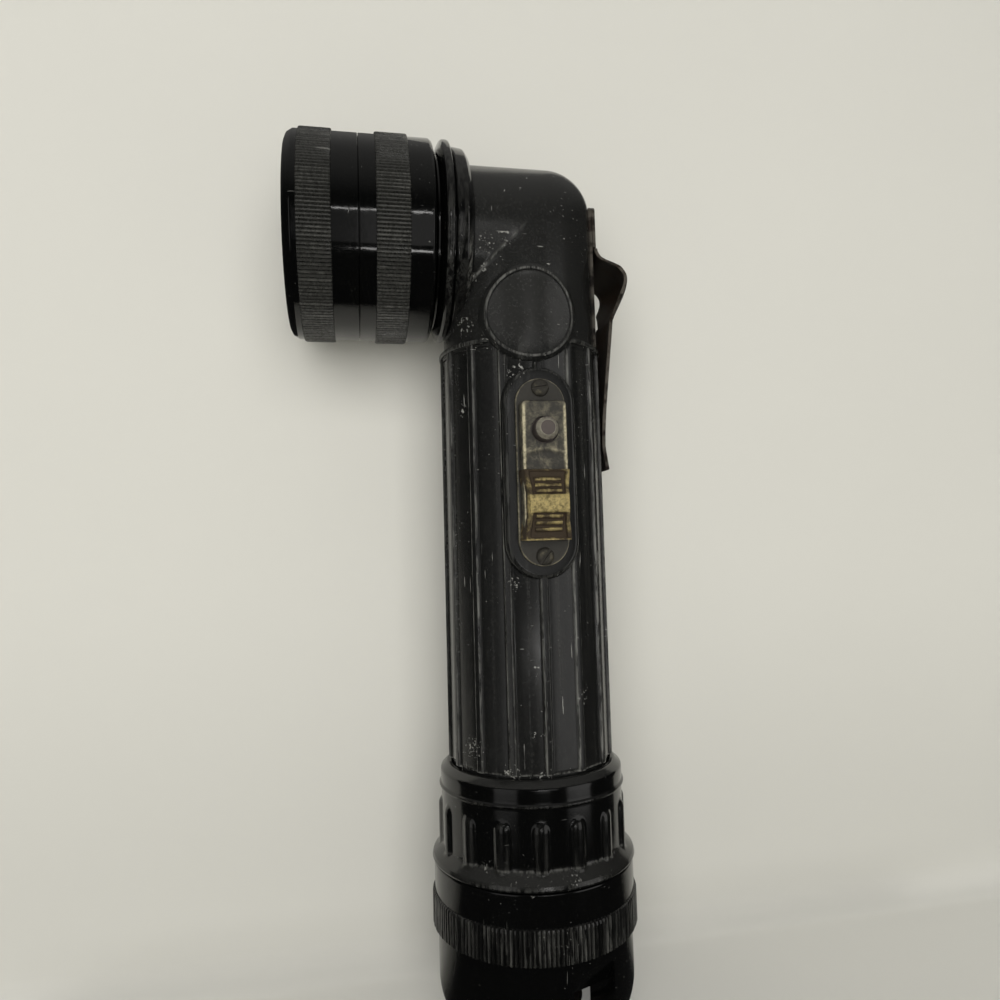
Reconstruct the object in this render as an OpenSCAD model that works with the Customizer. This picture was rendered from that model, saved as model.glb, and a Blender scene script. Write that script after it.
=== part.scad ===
// Angle head flashlight: a ribbed tube for two large cells, an elbow with a round head,
// a slide switch with a signal button, a sprung belt clip and a screw-off tail with a store.
// Millimetres. The tube stands along +Z on its base, the head points to -X, the switch faces -Y.

/* [Cells] */
// diameter of one cell
cell_d = 33.4; // [31:0.1:34.2]
// length of one cell with its nub
cell_len = 61.5; // [58:0.5:64]
// free space around a cell, on the radius
cell_play = 0.65; // [0.4:0.05:1.2]

/* [Tube] */
// wall of the tube between its ribs
tube_wall = 1.55; // [1.3:0.05:2.2]
// height of the tube ribs
rib_h = 0.7; // [0.4:0.05:1]
// width of the tube ribs
rib_w = 1.7; // [1.2:0.1:2.4]
// number of ribs around the tube
rib_count = 15; // [12:1:18]
// diameter of the bare medallion
medal_d = 22.5; // [18:0.5:24]

/* [Head] */
// height of the head axis over the top of the cells
head_rise = 14.3; // [13:0.1:18]
// radius of the two head rings
ring_r = 23.75; // [23.2:0.05:26]
// height of the knurl on all rings
knurl_h = 0.6; // [0.3:0.05:0.8]
// teeth around each knurled band
knurl_teeth = 96; // [60:4:120]
// length of the lens ring
lens_ring_len = 17.2; // [16.5:0.1:20]
// length of the filter ring
filter_ring_len = 16; // [15:0.1:19]
// gap between parts that turn on each other
turn_gap = 0.35; // [0.3:0.01:0.45]

/* [Switch] */
// width of the switch plate
plate_w = 11.4; // [11:0.1:13]
// length of the switch plate
plate_len = 41.8; // [41:0.1:46]
// height of the raised track over the plate
track_h = 3.3; // [3:0.1:4]
// length of the thumb slide
slide_len = 15.3; // [14:0.1:16]
// travel of the thumb slide
slide_travel = 5.5; // [4:0.1:6]
// diameter of the signal button
button_d = 5.1; // [4:0.1:5.4]
// travel of the signal button
button_travel = 1.5; // [1:0.1:1.6]

/* [Clip] */
// thickness of the clip steel
clip_t = 0.8; // [0.6:0.05:1]
// width of the clip at its bulge
clip_w = 19; // [14:0.5:22]
// height of the belt bulge over the clip base
clip_bulge = 7.4; // [6:0.1:9]

/* [Tail] */
// number of ribs around the battery cap
cap_rib_count = 16; // [12:1:18]
// length of the battery cap above its floor
cap_grip = 17.6; // [16:0.1:20]
// height of the store cap with the base
store_h = 34.6; // [33.6:0.1:38]
// depth of the recess under the base
recess_h = 13; // [12:0.1:13.5]
// thickness of a spare filter
filter_t = 1.5; // [1:0.1:1.6]
// diameter of the hanging ring's wire
ring_wire = 2.2; // [1.6:0.1:2.4]

/* [Hidden] */
$fn = 96;
seat_gap = 0.1;
part_gap = 0.3;
bore_r = cell_d / 2 + cell_play;
panel_r = bore_r + tube_wall;
tube_r = panel_r + rib_h;
elbow_r = panel_r - 0.3;
corner_r = elbow_r + 3;
neck_r = panel_r - 0.3;

// tail radii
cap_bore_r = neck_r + turn_gap;
cap_body_r = cap_bore_r + 2.55;
cap_rib_r = cap_body_r + 0.8;
// flare and store cap are as wide as the head rings, so that the lamp lies level
flare_r = ring_r + 0.25;
spigot_r = cap_bore_r + 1.35;
spigot_in_r = spigot_r - 2;
store_bore_r = spigot_r + turn_gap;
store_in_r = store_bore_r - 1.05;
store_band_r = ring_r - 0.2;
store_low_r = store_band_r - 0.65;
base_flat_r = store_low_r - 6.5;
base_round_h = 9.5;
recess_r = base_flat_r - 2;

// heights from the base up
seam = 1.2;
cap_z = store_h + seam;
floor_z = cap_z + 2.2;
floor_top = floor_z + 2;
gasket_t = 1.2;
neck_z = floor_top + gasket_t + part_gap;
cap_top = floor_top + cap_grip;
tube_z = cap_top + turn_gap;
spring_plate_t = 0.5;
spring_h = 6;
cell_z = floor_top + spring_h;
cells_top = cell_z + 2 * cell_len;
nub_h = 2;
head_z = cells_top + head_rise;
collar_z = head_z - 28.7;
medal_z = head_z - 22.4;
switch_z = head_z - 58.9;
spigot_z = store_h - 10.3;
step_z = spigot_z - 1.8;
knurl_low_z = store_h - 14;
knurl_high_z = store_h - 6.2;
store_floor_t = 2.2;
store_floor_top = recess_h + store_floor_t;

// distances out along the head
head_bore_r = elbow_r - 2.4;
head_neck_r = ring_r - 3.25;
head_neck_in_r = head_neck_r - 1.6;
ring_bore_r = head_neck_r + turn_gap;
flange_u = 21.3;
lens_ring_u = flange_u + turn_gap;
lens_ring_end = lens_ring_u + lens_ring_len;
neck_end_u = lens_ring_end - 5.85;
reflector_u = neck_end_u + 0.2;
gasket_u = reflector_u + 1;
lens_u = gasket_u + 1;
lens_t = 1.8;
lip_u = lens_u + lens_t + part_gap;
glass_r = head_neck_r - 0.2;
mouth_r = head_neck_r - 2.2;
filter_ring_u = lens_ring_end + turn_gap;
filter_ring_end = filter_ring_u + filter_ring_len;
spigot_u = filter_ring_end - 6.5;
window_u = spigot_u + part_gap;
window_t = 1.5;
rim_u = window_u + window_t + part_gap;
front_spigot_r = head_neck_r + 0.3;
filter_bore_r = front_spigot_r + turn_gap;
front_mouth_r = head_neck_r - 1.1;

// bulb
bulb_tip_u = 7.1;
bulb_base_r = 4.7;
bulb_flange_u = 16.2;
bulb_flange_r = 7.4;
bulb_glass_u = 22.3;
bulb_glass_r = 5.2;
bulb_len = bulb_glass_u + bulb_glass_r - bulb_tip_u;
holder_r = 8.4;
reflector_hole_r = 5.8;
reflector_rim_r = glass_r - 2.2;
reflector_depth = reflector_u - 18.7;
reflector_p = (pow(reflector_rim_r, 2) - pow(reflector_hole_r, 2)) / (4 * reflector_depth);
reflector_t = 0.9;

// switch, as distances out from the tube axis towards -Y
pad_d = tube_r + 0.3;
pad_w = plate_w + 4.6;
pad_len = plate_len + 5.2;
plate_t = 0.8;
plate_d = pad_d + plate_t;
track_d = plate_d + track_h;
track_w = plate_w - 1.6;
track_wall = 0.7;
track_len = plate_len - 11.2;
track_z = switch_z;
roof_d = track_d - 0.8;
trough_h = 0.45;
trough_rim = 0.65;
trough_round = 1.5;
screw_span = plate_len - 4.4;
screw_r = 2;
slide_z = track_z - track_len / 2 + slide_len / 2 + 0.1;
slide_d = track_d + part_gap;
slide_w = plate_w;
slide_body_w = slide_w - 2;
slide_bar_h = 2.3;
slide_end_h = 0.8;
skirt_t = 0.5;
skirt_len = 4.6;
stem_w = 2.4;
stem_len = 3;
shoe_d = pad_d;
shoe_t = 0.7;
board_d = pad_d - 1.4;
board_t = 0.8;
rail_d = board_d + board_t;
rail_t = 0.4;
button_z = track_z + track_len / 2 - 6.5;
trough_top = button_z - 5;
button_r = button_d / 2;
button_hole_r = button_r + 0.45;
button_flange_r = button_r + 1.1;
button_flange_d = roof_d - part_gap - 0.6;
button_end_d = rail_d + rail_t + button_travel + seat_gap;
button_top_d = track_d + 3;
button_wire = 0.4;
strip_d = bore_r - 0.3;
strip_t = 0.4;
strip_w = 5;
post_r = 1;
post_z = switch_z - track_len / 2 + 3;

// clip, measured from the tube axis
clip_in_r = elbow_r;
clip_mid_r = clip_in_r + clip_t;
clip_out_r = clip_mid_r + clip_t;
clip_top_z = head_z + 9.7;
clip_low_z = collar_z + 2;
clip_bend_z = head_z - 1.8;
clip_tip_z = switch_z + 2.2;
clip_apex_r = clip_mid_r + clip_bulge + clip_t;
rivet_r = 1.4;
rivet_head_r = 1.8;

// hanging ring
hang_r = 9.5;
hang_z = 2.6;
hang_post_r = 3.8;
notch_w = 11;
notch_turn = 21;

// Least free gap between the turns of the two wound springs
tail_wire = 1.2;
tail_turns = 4;
tail_r0 = 10.5;
tail_r1 = 4.5;
tail_rise = spring_h - spring_plate_t - seat_gap - tail_wire;
tail_gap = norm([(tail_r0 - tail_r1) / tail_turns, tail_rise / tail_turns]) - tail_wire;
button_turns = 2;
button_coil_r = (button_flange_r + button_hole_r) / 2 - 0.5;
button_coil_len = button_flange_d - rail_d - button_wire - 0.2;
button_gap = button_coil_len / button_turns - button_wire;
echo(tail_spring_gap = tail_gap, button_spring_gap = button_gap);

// Helpers

// children drawn around +Z are laid along the head, with +Z pointing out of the lamp
module along_head() {
    translate([0, 0, head_z]) rotate([0, -90, 0]) children();
}

// children drawn in XY are stood on the switch side at height z, with +Z pointing out to -Y
module on_front(z) {
    translate([0, 0, z]) rotate([90, 0, 0]) children();
}

module stadium(w, l) {
    square([w, l - w], center = true);
    translate([0, (l - w) / 2]) circle(d = w);
    translate([0, (w - l) / 2]) circle(d = w);
}

// a turned ring between two radii and two heights
module ring(r_in, r_out, z0, z1) {
    rotate_extrude() translate([r_in, z0]) square([r_out - r_in, z1 - z0]);
}

// a straight knurled band with a bore
module knurl(r_in, r_out, depth, teeth, z0, z1) {
    step = 360 / teeth;
    points = [for (i = [0 : teeth - 1]) for (j = [0 : 1])
        let (a = i * step + j * step / 2, r = j == 0 ? r_out : r_out - depth) [r * cos(a), r * sin(a)]];
    translate([0, 0, z0]) linear_extrude(z1 - z0) difference() {
        polygon(points);
        circle(r = r_in);
    }
}

// a round wire swept along a list of points around Z, as one closed tube of triangles
module wound_wire(path, wire_r, sides) {
    n = len(path);
    points = [for (i = [0 : n - 1]) for (s = [0 : sides - 1])
        let (p = path[i], a = atan2(p[1], p[0]), t = s * 360 / sides)
        [p[0] + wire_r * cos(t) * cos(a), p[1] + wire_r * cos(t) * sin(a), p[2] + wire_r * sin(t)]];
    walls = [for (i = [0 : n - 2]) for (s = [0 : sides - 1]) for (k = [0 : 1])
        let (a = i * sides + s, b = i * sides + (s + 1) % sides)
        k == 0 ? [a, b, b + sides] : [a, b + sides, a + sides]];
    start = [for (s = [1 : sides - 2]) [0, s + 1, s]];
    end = [for (s = [1 : sides - 2]) [(n - 1) * sides, (n - 1) * sides + s, (n - 1) * sides + s + 1]];
    polyhedron(points = points, faces = concat(walls, start, end), convexity = 6);
}

function helix(r0, r1, z0, z1, turns, rings) = [for (i = [0 : turns * rings])
    let (t = i / (turns * rings), a = 360 * turns * t, r = r0 + (r1 - r0) * t)
    [r * cos(a), r * sin(a), z0 + (z1 - z0) * t]];

// Body

module tube_section() {
    circle(r = panel_r);
    for (i = [0 : rib_count - 1]) {
        rotate(i * 360 / rib_count) translate([0, -tube_r]) polygon([[-rib_w / 2, 0], [rib_w / 2, 0],
            [rib_w / 2 + 0.25, rib_h + 0.6], [-rib_w / 2 - 0.25, rib_h + 0.6]]);
    }
}

module elbow_outside() {
    translate([0, 0, collar_z]) cylinder(r = elbow_r, h = head_z - collar_z);
    along_head() cylinder(r = elbow_r, h = 14);
    intersection() {
        translate([0, 0, head_z - 1]) cylinder(r = elbow_r, h = elbow_r + 2);
        along_head() translate([0, 0, -elbow_r - 1]) cylinder(r = elbow_r, h = elbow_r + 2);
        translate([0, 0, head_z]) sphere(r = corner_r);
    }
}

module head_flange() {
    along_head() rotate_extrude() polygon([[0, 10], [elbow_r - 0.2, 10], [elbow_r - 0.2, 13.5],
        [ring_r - 2.85, 13.9], [ring_r - 2.05, 14.6], [ring_r - 1.55, 15.8], [ring_r - 1.45, 17.2],
        [ring_r - 2.4, 17.7], [ring_r - 2.4, 18.1], [ring_r - 0.6, 18.3], [ring_r - 0.1, 18.8],
        [ring_r - 0.1, 19.9], [ring_r - 0.6, 20.5], [ring_r - 1.8, flange_u - 0.2], [head_neck_r, flange_u],
        [head_neck_r, neck_end_u], [0, neck_end_u]]);
}

module medallion() {
    difference() {
        intersection() {
            translate([-1, 0, medal_z]) rotate([90, 0, 0]) cylinder(d = medal_d, h = 40);
            translate([0, 0, medal_z - medal_d]) cylinder(r = elbow_r + 1.1, h = 2 * medal_d);
        }
        intersection() {
            translate([-1, 0, medal_z]) rotate([90, 0, 0]) cylinder(d = medal_d - 2.9, h = 40);
            ring(elbow_r + 0.65, elbow_r + 4, medal_z - medal_d, medal_z + medal_d);
        }
    }
}

module body_shell() color([0.06, 0.065, 0.06]) {
    difference() {
        union() {
            translate([0, 0, tube_z]) linear_extrude(collar_z - tube_z + 0.3) tube_section();
            translate([0, 0, neck_z]) cylinder(r = neck_r, h = tube_z - neck_z + 1);
            rotate_extrude() polygon([[0, collar_z - 0.2], [tube_r - 0.2, collar_z - 0.2],
                [tube_r + 0.15, collar_z + 0.15], [tube_r + 0.15, collar_z + 0.7],
                [tube_r - 0.4, collar_z + 1.2], [elbow_r - 0.2, collar_z + 1.3], [0, collar_z + 1.3]]);
            elbow_outside();
            head_flange();
            on_front(switch_z) linear_extrude(pad_d) stadium(pad_w, pad_len);
            medallion();
        }
        translate([0, 0, neck_z - 1]) cylinder(r = bore_r, h = cells_top + 1 - neck_z + 1);
        along_head() translate([0, 0, -10]) cylinder(r = head_bore_r, h = neck_end_u);
        along_head() translate([0, 0, 19.4]) cylinder(r = head_neck_in_r, h = neck_end_u);
        on_front(track_z) translate([0, 0, board_d - seat_gap]) linear_extrude(4)
            square([track_w - 2 * track_wall + 0.4, track_len + 0.4], center = true);
        on_front(post_z) cylinder(r = post_r + 0.2, h = pad_d);
        translate([-strip_w / 2 - 0.3, -strip_d - strip_t - 0.2, neck_z - 1])
            cube([strip_w + 0.6, strip_t + 1, post_z + 5 - neck_z]);
        for (s = [-1, 1]) {
            on_front(switch_z + s * screw_span / 2) translate([0, 0, pad_d - 2.2]) cylinder(r = 1, h = 4);
        }
        clip_holes();
    }
}

module lamp_contact() color([0.78, 0.6, 0.28]) {
    leg_x = -bulb_tip_u + seat_gap;
    difference() {
        translate([leg_x, -3, cells_top]) cube([bulb_tip_u + 4, 6, head_z + 3 - cells_top]);
        translate([leg_x + 0.4, -4, cells_top + 0.4]) cube([bulb_tip_u + 6, 8, head_z + 4 - cells_top]);
    }
}

module contact_strip() color([0.78, 0.6, 0.28]) {
    translate([-strip_w / 2, -strip_d - strip_t, neck_z + 0.3])
        cube([strip_w, strip_t, post_z + 3.4 - neck_z]);
    post_d = strip_d + strip_t / 2;
    on_front(post_z) translate([0, 0, post_d]) cylinder(r = post_r, h = rail_d - post_d);
}

module cell(z) {
    translate([0, 0, z + 0.6]) cylinder(d = cell_d, h = cell_len - nub_h - 1.2);
}

module cell_lower() color([0.72, 0.62, 0.36]) cell(cell_z);

module cell_upper() color([0.72, 0.62, 0.36]) cell(cell_z + cell_len);

// the metal ends of both cells: bottom disc, top disc and nub
module cell_caps() color([0.75, 0.75, 0.74]) {
    for (z = [cell_z, cell_z + cell_len]) {
        translate([0, 0, z]) cylinder(d = cell_d - 3, h = 0.6);
        translate([0, 0, z + cell_len - nub_h - 0.6]) cylinder(d = cell_d - 3, h = 0.6);
        translate([0, 0, z + cell_len - nub_h]) cylinder(r = 4.8, h = nub_h);
    }
}

// Switch

module switch_plate() color([0.2, 0.19, 0.17]) {
    hollow_w = track_w - 2 * track_wall;
    difference() {
        union() {
            on_front(switch_z) translate([0, 0, pad_d]) linear_extrude(plate_t) stadium(plate_w, plate_len);
            on_front(track_z) translate([0, 0, pad_d]) linear_extrude(track_d - pad_d)
                square([track_w, track_len], center = true);
        }
        on_front(track_z) translate([0, 0, pad_d - 1]) linear_extrude(roof_d - pad_d + 1)
            square([hollow_w, track_len - 2 * track_wall], center = true);
        // lower run under the slide, with a curved step up to the button's end
        trough_w = track_w - 2 * trough_rim;
        trough_low = track_z - track_len / 2 + trough_rim;
        translate([-trough_w / 2, -track_d - 1, trough_low])
            cube([trough_w, trough_h + 1, trough_top - trough_low]);
        translate([-trough_w / 2, -track_d + trough_h + 0.05 - trough_round, trough_top - 0.2])
            rotate([0, 90, 0]) cylinder(r = trough_round, h = trough_w);
        on_front(button_z) cylinder(r = button_hole_r, h = track_d + 1);
        translate([-stem_w / 2 - 0.4, -track_d - 1, slide_z - stem_len / 2 - 0.5])
            cube([stem_w + 0.8, track_h + 1, stem_len + slide_travel + 1]);
        for (s = [-1, 1]) {
            on_front(switch_z + s * screw_span / 2) cylinder(r = 1.05, h = plate_d + 1);
        }
    }
}

module switch_screws() color([0.55, 0.5, 0.38]) {
    slots = [8, 52];
    for (i = [0 : 1]) {
        on_front(switch_z + (1 - 2 * i) * screw_span / 2) difference() {
            union() {
                translate([0, 0, plate_d]) cylinder(r = screw_r, h = 0.45);
                translate([0, 0, plate_d + 0.45]) cylinder(r1 = screw_r, r2 = screw_r - 0.5, h = 0.35);
                translate([0, 0, pad_d - 2]) cylinder(r = 0.95, h = 3);
            }
            translate([0, 0, plate_d + 0.35]) rotate(slots[i]) translate([-3, -0.3, 0]) cube([6, 0.6, 2]);
        }
    }
}

module switch_board() color([0.36, 0.17, 0.09]) difference() {
    on_front(track_z) translate([0, 0, board_d]) linear_extrude(board_t)
        square([track_w - 2 * track_wall, track_len], center = true);
    on_front(post_z) cylinder(r = post_r + 0.05, h = pad_d);
}

module contact_rail() color([0.78, 0.6, 0.28]) {
    rail_z0 = track_z - track_len / 2 + 1.5;
    translate([-1.2, -rail_d - rail_t, rail_z0])
        cube([2.4, rail_t, button_z - button_flange_r - 0.6 - rail_z0]);
}

module signal_contact() color([0.78, 0.6, 0.28]) {
    on_front(button_z) translate([0, 0, rail_d]) cylinder(r = 1.5, h = rail_t);
}

module button_spring() color([0.7, 0.7, 0.7]) {
    on_front(button_z) translate([0, 0, rail_d + button_wire / 2 + 0.1])
        wound_wire(helix(button_coil_r, button_coil_r, 0, button_coil_len, button_turns, 8),
            button_wire / 2, 6);
}

module switch_slide() color([0.72, 0.55, 0.24]) {
    half = slide_len / 2;
    bar_d = slide_d + slide_bar_h;
    end_d = slide_d + slide_end_h;
    ridge_zs = [5.5, 4.2, 2.95, -2.5, -3.9, -5.3];
    on_front(slide_z) {
        // base of the saddle with its side skirts at both ends
        translate([0, 0, slide_d]) linear_extrude(0.6) difference() {
            square([slide_w, slide_len], center = true);
            for (s = [-1, 1]) {
                translate([s * (slide_w / 2 + 4.9), 0.2]) circle(r = 6);
            }
        }
        for (s = [-1, 1]) {
            for (e = [-1, 1]) {
                skirt_z = e > 0 ? half - skirt_len : -half;
                translate([s * (slide_w - skirt_t) / 2 - skirt_t / 2, skirt_z, plate_d + part_gap])
                    cube([skirt_t, skirt_len, slide_d - plate_d - part_gap + 0.3]);
            }
        }
        // arched saddle with two sunk panels
        difference() {
            rotate([0, -90, 0]) translate([0, 0, -slide_body_w / 2]) linear_extrude(slide_body_w)
                polygon([[slide_d, -half], [end_d, -half], [bar_d - 0.35, -1.8], [bar_d, -1.4],
                    [bar_d, 1.6], [bar_d - 0.35, 2], [end_d, half], [slide_d, half]]);
            for (e = [-1, 1]) {
                translate([0, e > 0 ? 2.2 : -2, bar_d - 0.9]) rotate([e > 0 ? -12 : 12, 0, 0])
                    translate([-3.6, e > 0 ? 0 : -half - 3, 0]) cube([7.2, half + 3, 4]);
            }
        }
        for (z = ridge_zs) {
            ridge_top = bar_d - 0.55 - abs(z) * 0.22;
            translate([-3, z - 0.3, slide_d + 0.3]) cube([6, 0.6, ridge_top - slide_d - 0.3]);
        }
        // stem through the slot of the track
        translate([-stem_w / 2, -stem_len / 2, shoe_d + shoe_t])
            cube([stem_w, stem_len, slide_d - shoe_d - shoe_t + 0.3]);
    }
}

module slide_shoe() color([0.78, 0.6, 0.28]) {
    on_front(slide_z) translate([-2.4, -3.4, shoe_d]) cube([4.8, 6.8, shoe_t]);
}

module switch_button() color([0.24, 0.22, 0.2]) {
    flange_top = button_flange_d + 0.6;
    on_front(button_z) rotate_extrude() polygon([[0, button_end_d], [1.3, button_end_d],
        [1.3, button_flange_d], [button_flange_r, button_flange_d], [button_flange_r, flange_top],
        [button_r, flange_top], [button_r, button_top_d - 0.9], [button_r - 0.25, button_top_d - 0.55],
        [button_r - 0.95, button_top_d], [0, button_top_d]]);
}

// Clip

module clip_holes() {
    for (z = [head_z + 4.4, head_z + 0.6]) {
        translate([0, 0, z]) rotate([0, 90, 0]) cylinder(r = rivet_r + 0.05, h = clip_out_r + 5);
    }
}

// outline of the clip seen along X, used to trim the bent strips
module clip_outline(w, z0, z1) {
    translate([0, -w / 2, z0]) cube([clip_apex_r + 10, w, z1 - z0]);
}

module clip_base() color([0.13, 0.12, 0.11]) difference() {
    intersection() {
        ring(clip_in_r, clip_mid_r, clip_low_z, clip_top_z);
        clip_outline(clip_w - 5, clip_low_z, clip_top_z);
    }
    clip_holes();
}

module clip_root() color([0.15, 0.13, 0.11]) difference() {
    intersection() {
        ring(clip_mid_r, clip_out_r, clip_bend_z + 0.4, clip_top_z);
        clip_outline(clip_w - 5, clip_bend_z, clip_top_z);
    }
    clip_holes();
}

module clip_rivets() color([0.22, 0.2, 0.17]) {
    for (z = [head_z + 4.4, head_z + 0.6]) {
        translate([0, 0, z]) rotate([0, 90, 0]) {
            translate([0, 0, head_bore_r + 0.6]) cylinder(r = rivet_r, h = clip_out_r - head_bore_r);
            translate([0, 0, clip_out_r + seat_gap]) cylinder(r1 = rivet_head_r, r2 = rivet_r, h = 0.6);
        }
    }
}

// middle line of the sprung leaf as radius and height, from its bend to its tip
function leaf_line() = let (m = clip_mid_r + clip_t / 2, a = clip_apex_r - clip_t / 2, g = tube_r + 0.9,
    b = clip_bend_z, t = clip_tip_z) [
    [m + part_gap, b], [m + 0.75, b - 1.4], [m + 2.2, b - 3], [a - 1.7, b - 5.2], [a - 0.4, b - 6.7],
    [a, b - 8.2], [a - 0.3, b - 10], [a - 1.2, b - 12.2], [a - 2.6, b - 15], [a - 3.5, b - 17],
    [a - 4, b - 19.5], [g + 0.5, t + 15], [g, t + 7], [g + 0.05, t + 5], [g + 0.45, t + 2.4], [g + 1, t]];

function side_step(line, i) = let (n = len(line), p = line[max(i - 1, 0)], q = line[min(i + 1, n - 1)],
    d = q - p) [-d[1], d[0]] / norm(d);

module clip_leaf() color([0.15, 0.13, 0.11]) {
    line = leaf_line();
    n = len(line);
    outer = [for (i = [0 : n - 1]) line[i] + side_step(line, i) * clip_t / 2];
    inner = [for (i = [n - 1 : -1 : 0]) line[i] - side_step(line, i) * clip_t / 2];
    w = clip_w / 2;
    b = clip_bend_z;
    t = clip_tip_z;
    right = [[w - 2.5, b + 1], [w - 2.5, b - 2], [w, b - 5], [w, b - 12], [w - 2, b - 14],
        [w - 4.2, b - 16.5], [w - 3.6, b - 19], [w - 2.2, b - 21.5], [w - 4.6, t + 3], [w - 6.2, t - 1]];
    left = [for (i = [len(right) - 1 : -1 : 0]) [-right[i][0], right[i][1]]];
    intersection() {
        rotate([0, 0, -60]) rotate_extrude(angle = 120) polygon(concat(outer, inner));
        rotate([90, 0, 90]) linear_extrude(clip_apex_r + 5) polygon(concat(right, left));
    }
}

// Lamp and lens

function bowl_r(u) = sqrt(pow(reflector_hole_r, 2) + 4 * reflector_p * (u - 18.7));

module reflector() color([0.85, 0.85, 0.86]) {
    steps = 9;
    us = [for (i = [0 : steps]) 18.7 + reflector_depth * i * i / (steps * steps)];
    inside = [for (u = us) [bowl_r(u), u]];
    limit = head_neck_in_r - 0.5;
    outside = [for (i = [steps : -1 : 1]) [min(bowl_r(us[i]) + reflector_t, limit), us[i]]];
    along_head() rotate_extrude() polygon(concat(inside, [[reflector_rim_r, reflector_u + 0.9],
        [glass_r, reflector_u + 0.9], [glass_r, reflector_u], [limit, reflector_u]], outside,
        [[holder_r - 0.2, 19.5], [holder_r - 0.2, 17.1], [reflector_hole_r, 17.1]]));
}

module lens_gasket() color([0.05, 0.05, 0.05]) along_head() {
    ring(reflector_rim_r - 0.3, glass_r, gasket_u, lens_u);
}

module clear_lens() color([0.85, 0.9, 0.92, 0.4]) along_head() {
    translate([0, 0, lens_u]) cylinder(r = glass_r, h = lens_t);
}

module bulb_shape_glass() {
    difference() {
        union() {
            translate([0, 0, bulb_glass_u]) sphere(r = bulb_glass_r);
            translate([0, 0, bulb_flange_u + 0.8])
                cylinder(r = bulb_base_r - 0.5, h = bulb_glass_u - bulb_flange_u - 0.8);
        }
        translate([0, 0, bulb_glass_u]) sphere(r = bulb_glass_r - 0.5);
    }
}

module bulb_shape_base() {
    translate([0, 0, bulb_tip_u]) cylinder(r1 = 1.4, r2 = 2, h = 1.4);
    translate([0, 0, bulb_tip_u + 1.4]) cylinder(r = bulb_base_r, h = bulb_flange_u - bulb_tip_u - 1.4);
    translate([0, 0, bulb_flange_u]) cylinder(r = bulb_flange_r, h = 0.8);
}

module bulb_glass() color([0.9, 0.92, 0.95, 0.35]) along_head() bulb_shape_glass();

module bulb_base() color([0.78, 0.62, 0.3]) along_head() bulb_shape_base();

module bulb_holder() color([0.1, 0.1, 0.1]) along_head() difference() {
    translate([0, 0, 9]) cylinder(r = holder_r, h = 8.1);
    translate([0, 0, 8]) cylinder(r = bulb_base_r + 0.2, h = 10);
    translate([0, 0, bulb_flange_u - 0.1]) cylinder(r = bulb_flange_r + 0.2, h = 2);
}

module lens_ring() color([0.08, 0.08, 0.08]) along_head() {
    k0 = lens_ring_u + 6.2;
    k1 = lens_ring_end - 3.5;
    difference() {
        union() {
            rotate_extrude() polygon([[head_neck_r - 1, lens_ring_u], [ring_r - 1.9, lens_ring_u],
                [ring_r - 0.4, lens_ring_u + 0.7], [ring_r, lens_ring_u + 1.3],
                [ring_r, lens_ring_end - 0.3], [ring_r - 0.3, lens_ring_end],
                [front_spigot_r, lens_ring_end], [front_spigot_r, spigot_u], [mouth_r, spigot_u],
                [mouth_r, lip_u], [head_neck_r - 1, lip_u]]);
            knurl(ring_r - 1, ring_r + knurl_h, knurl_h - 0.05, knurl_teeth, k0, k1);
        }
        translate([0, 0, lens_ring_u - 1]) cylinder(r = ring_bore_r, h = lip_u - lens_ring_u + 1);
    }
}

module front_window() color([0.85, 0.9, 0.92, 0.4]) along_head() {
    translate([0, 0, window_u]) cylinder(r = front_spigot_r, h = window_t);
}

module filter_ring() color([0.08, 0.08, 0.08]) along_head() {
    k0 = filter_ring_u + 5.6;
    k1 = filter_ring_end - 3;
    e = filter_ring_end;
    rotate_extrude() polygon([[filter_bore_r, filter_ring_u], [ring_r - 0.3, filter_ring_u],
        [ring_r, filter_ring_u + 0.3], [ring_r, e - 2.4], [ring_r - 0.3, e - 1.2], [ring_r - 0.9, e - 0.4],
        [ring_r - 1.7, e], [front_mouth_r + 0.6, e], [front_mouth_r, e - 0.6], [front_mouth_r, rim_u],
        [filter_bore_r, rim_u]]);
    knurl(ring_r - 1, ring_r + knurl_h, knurl_h - 0.05, knurl_teeth, k0, k1);
}

// Tail

module cap_gasket() color([0.05, 0.05, 0.05]) {
    ring(bore_r - 1.3, neck_r - 0.1, floor_top + seat_gap, floor_top + gasket_t);
}

module tail_spring() color([0.7, 0.7, 0.7]) {
    z0 = floor_top + seat_gap + spring_plate_t + tail_wire / 2;
    wound_wire(helix(tail_r0, tail_r1, z0, z0 + tail_rise, tail_turns, 12), tail_wire / 2, 6);
}

module spring_plate() color([0.78, 0.6, 0.28]) {
    translate([0, 0, floor_top + seat_gap]) cylinder(r = 13, h = spring_plate_t);
}

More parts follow.
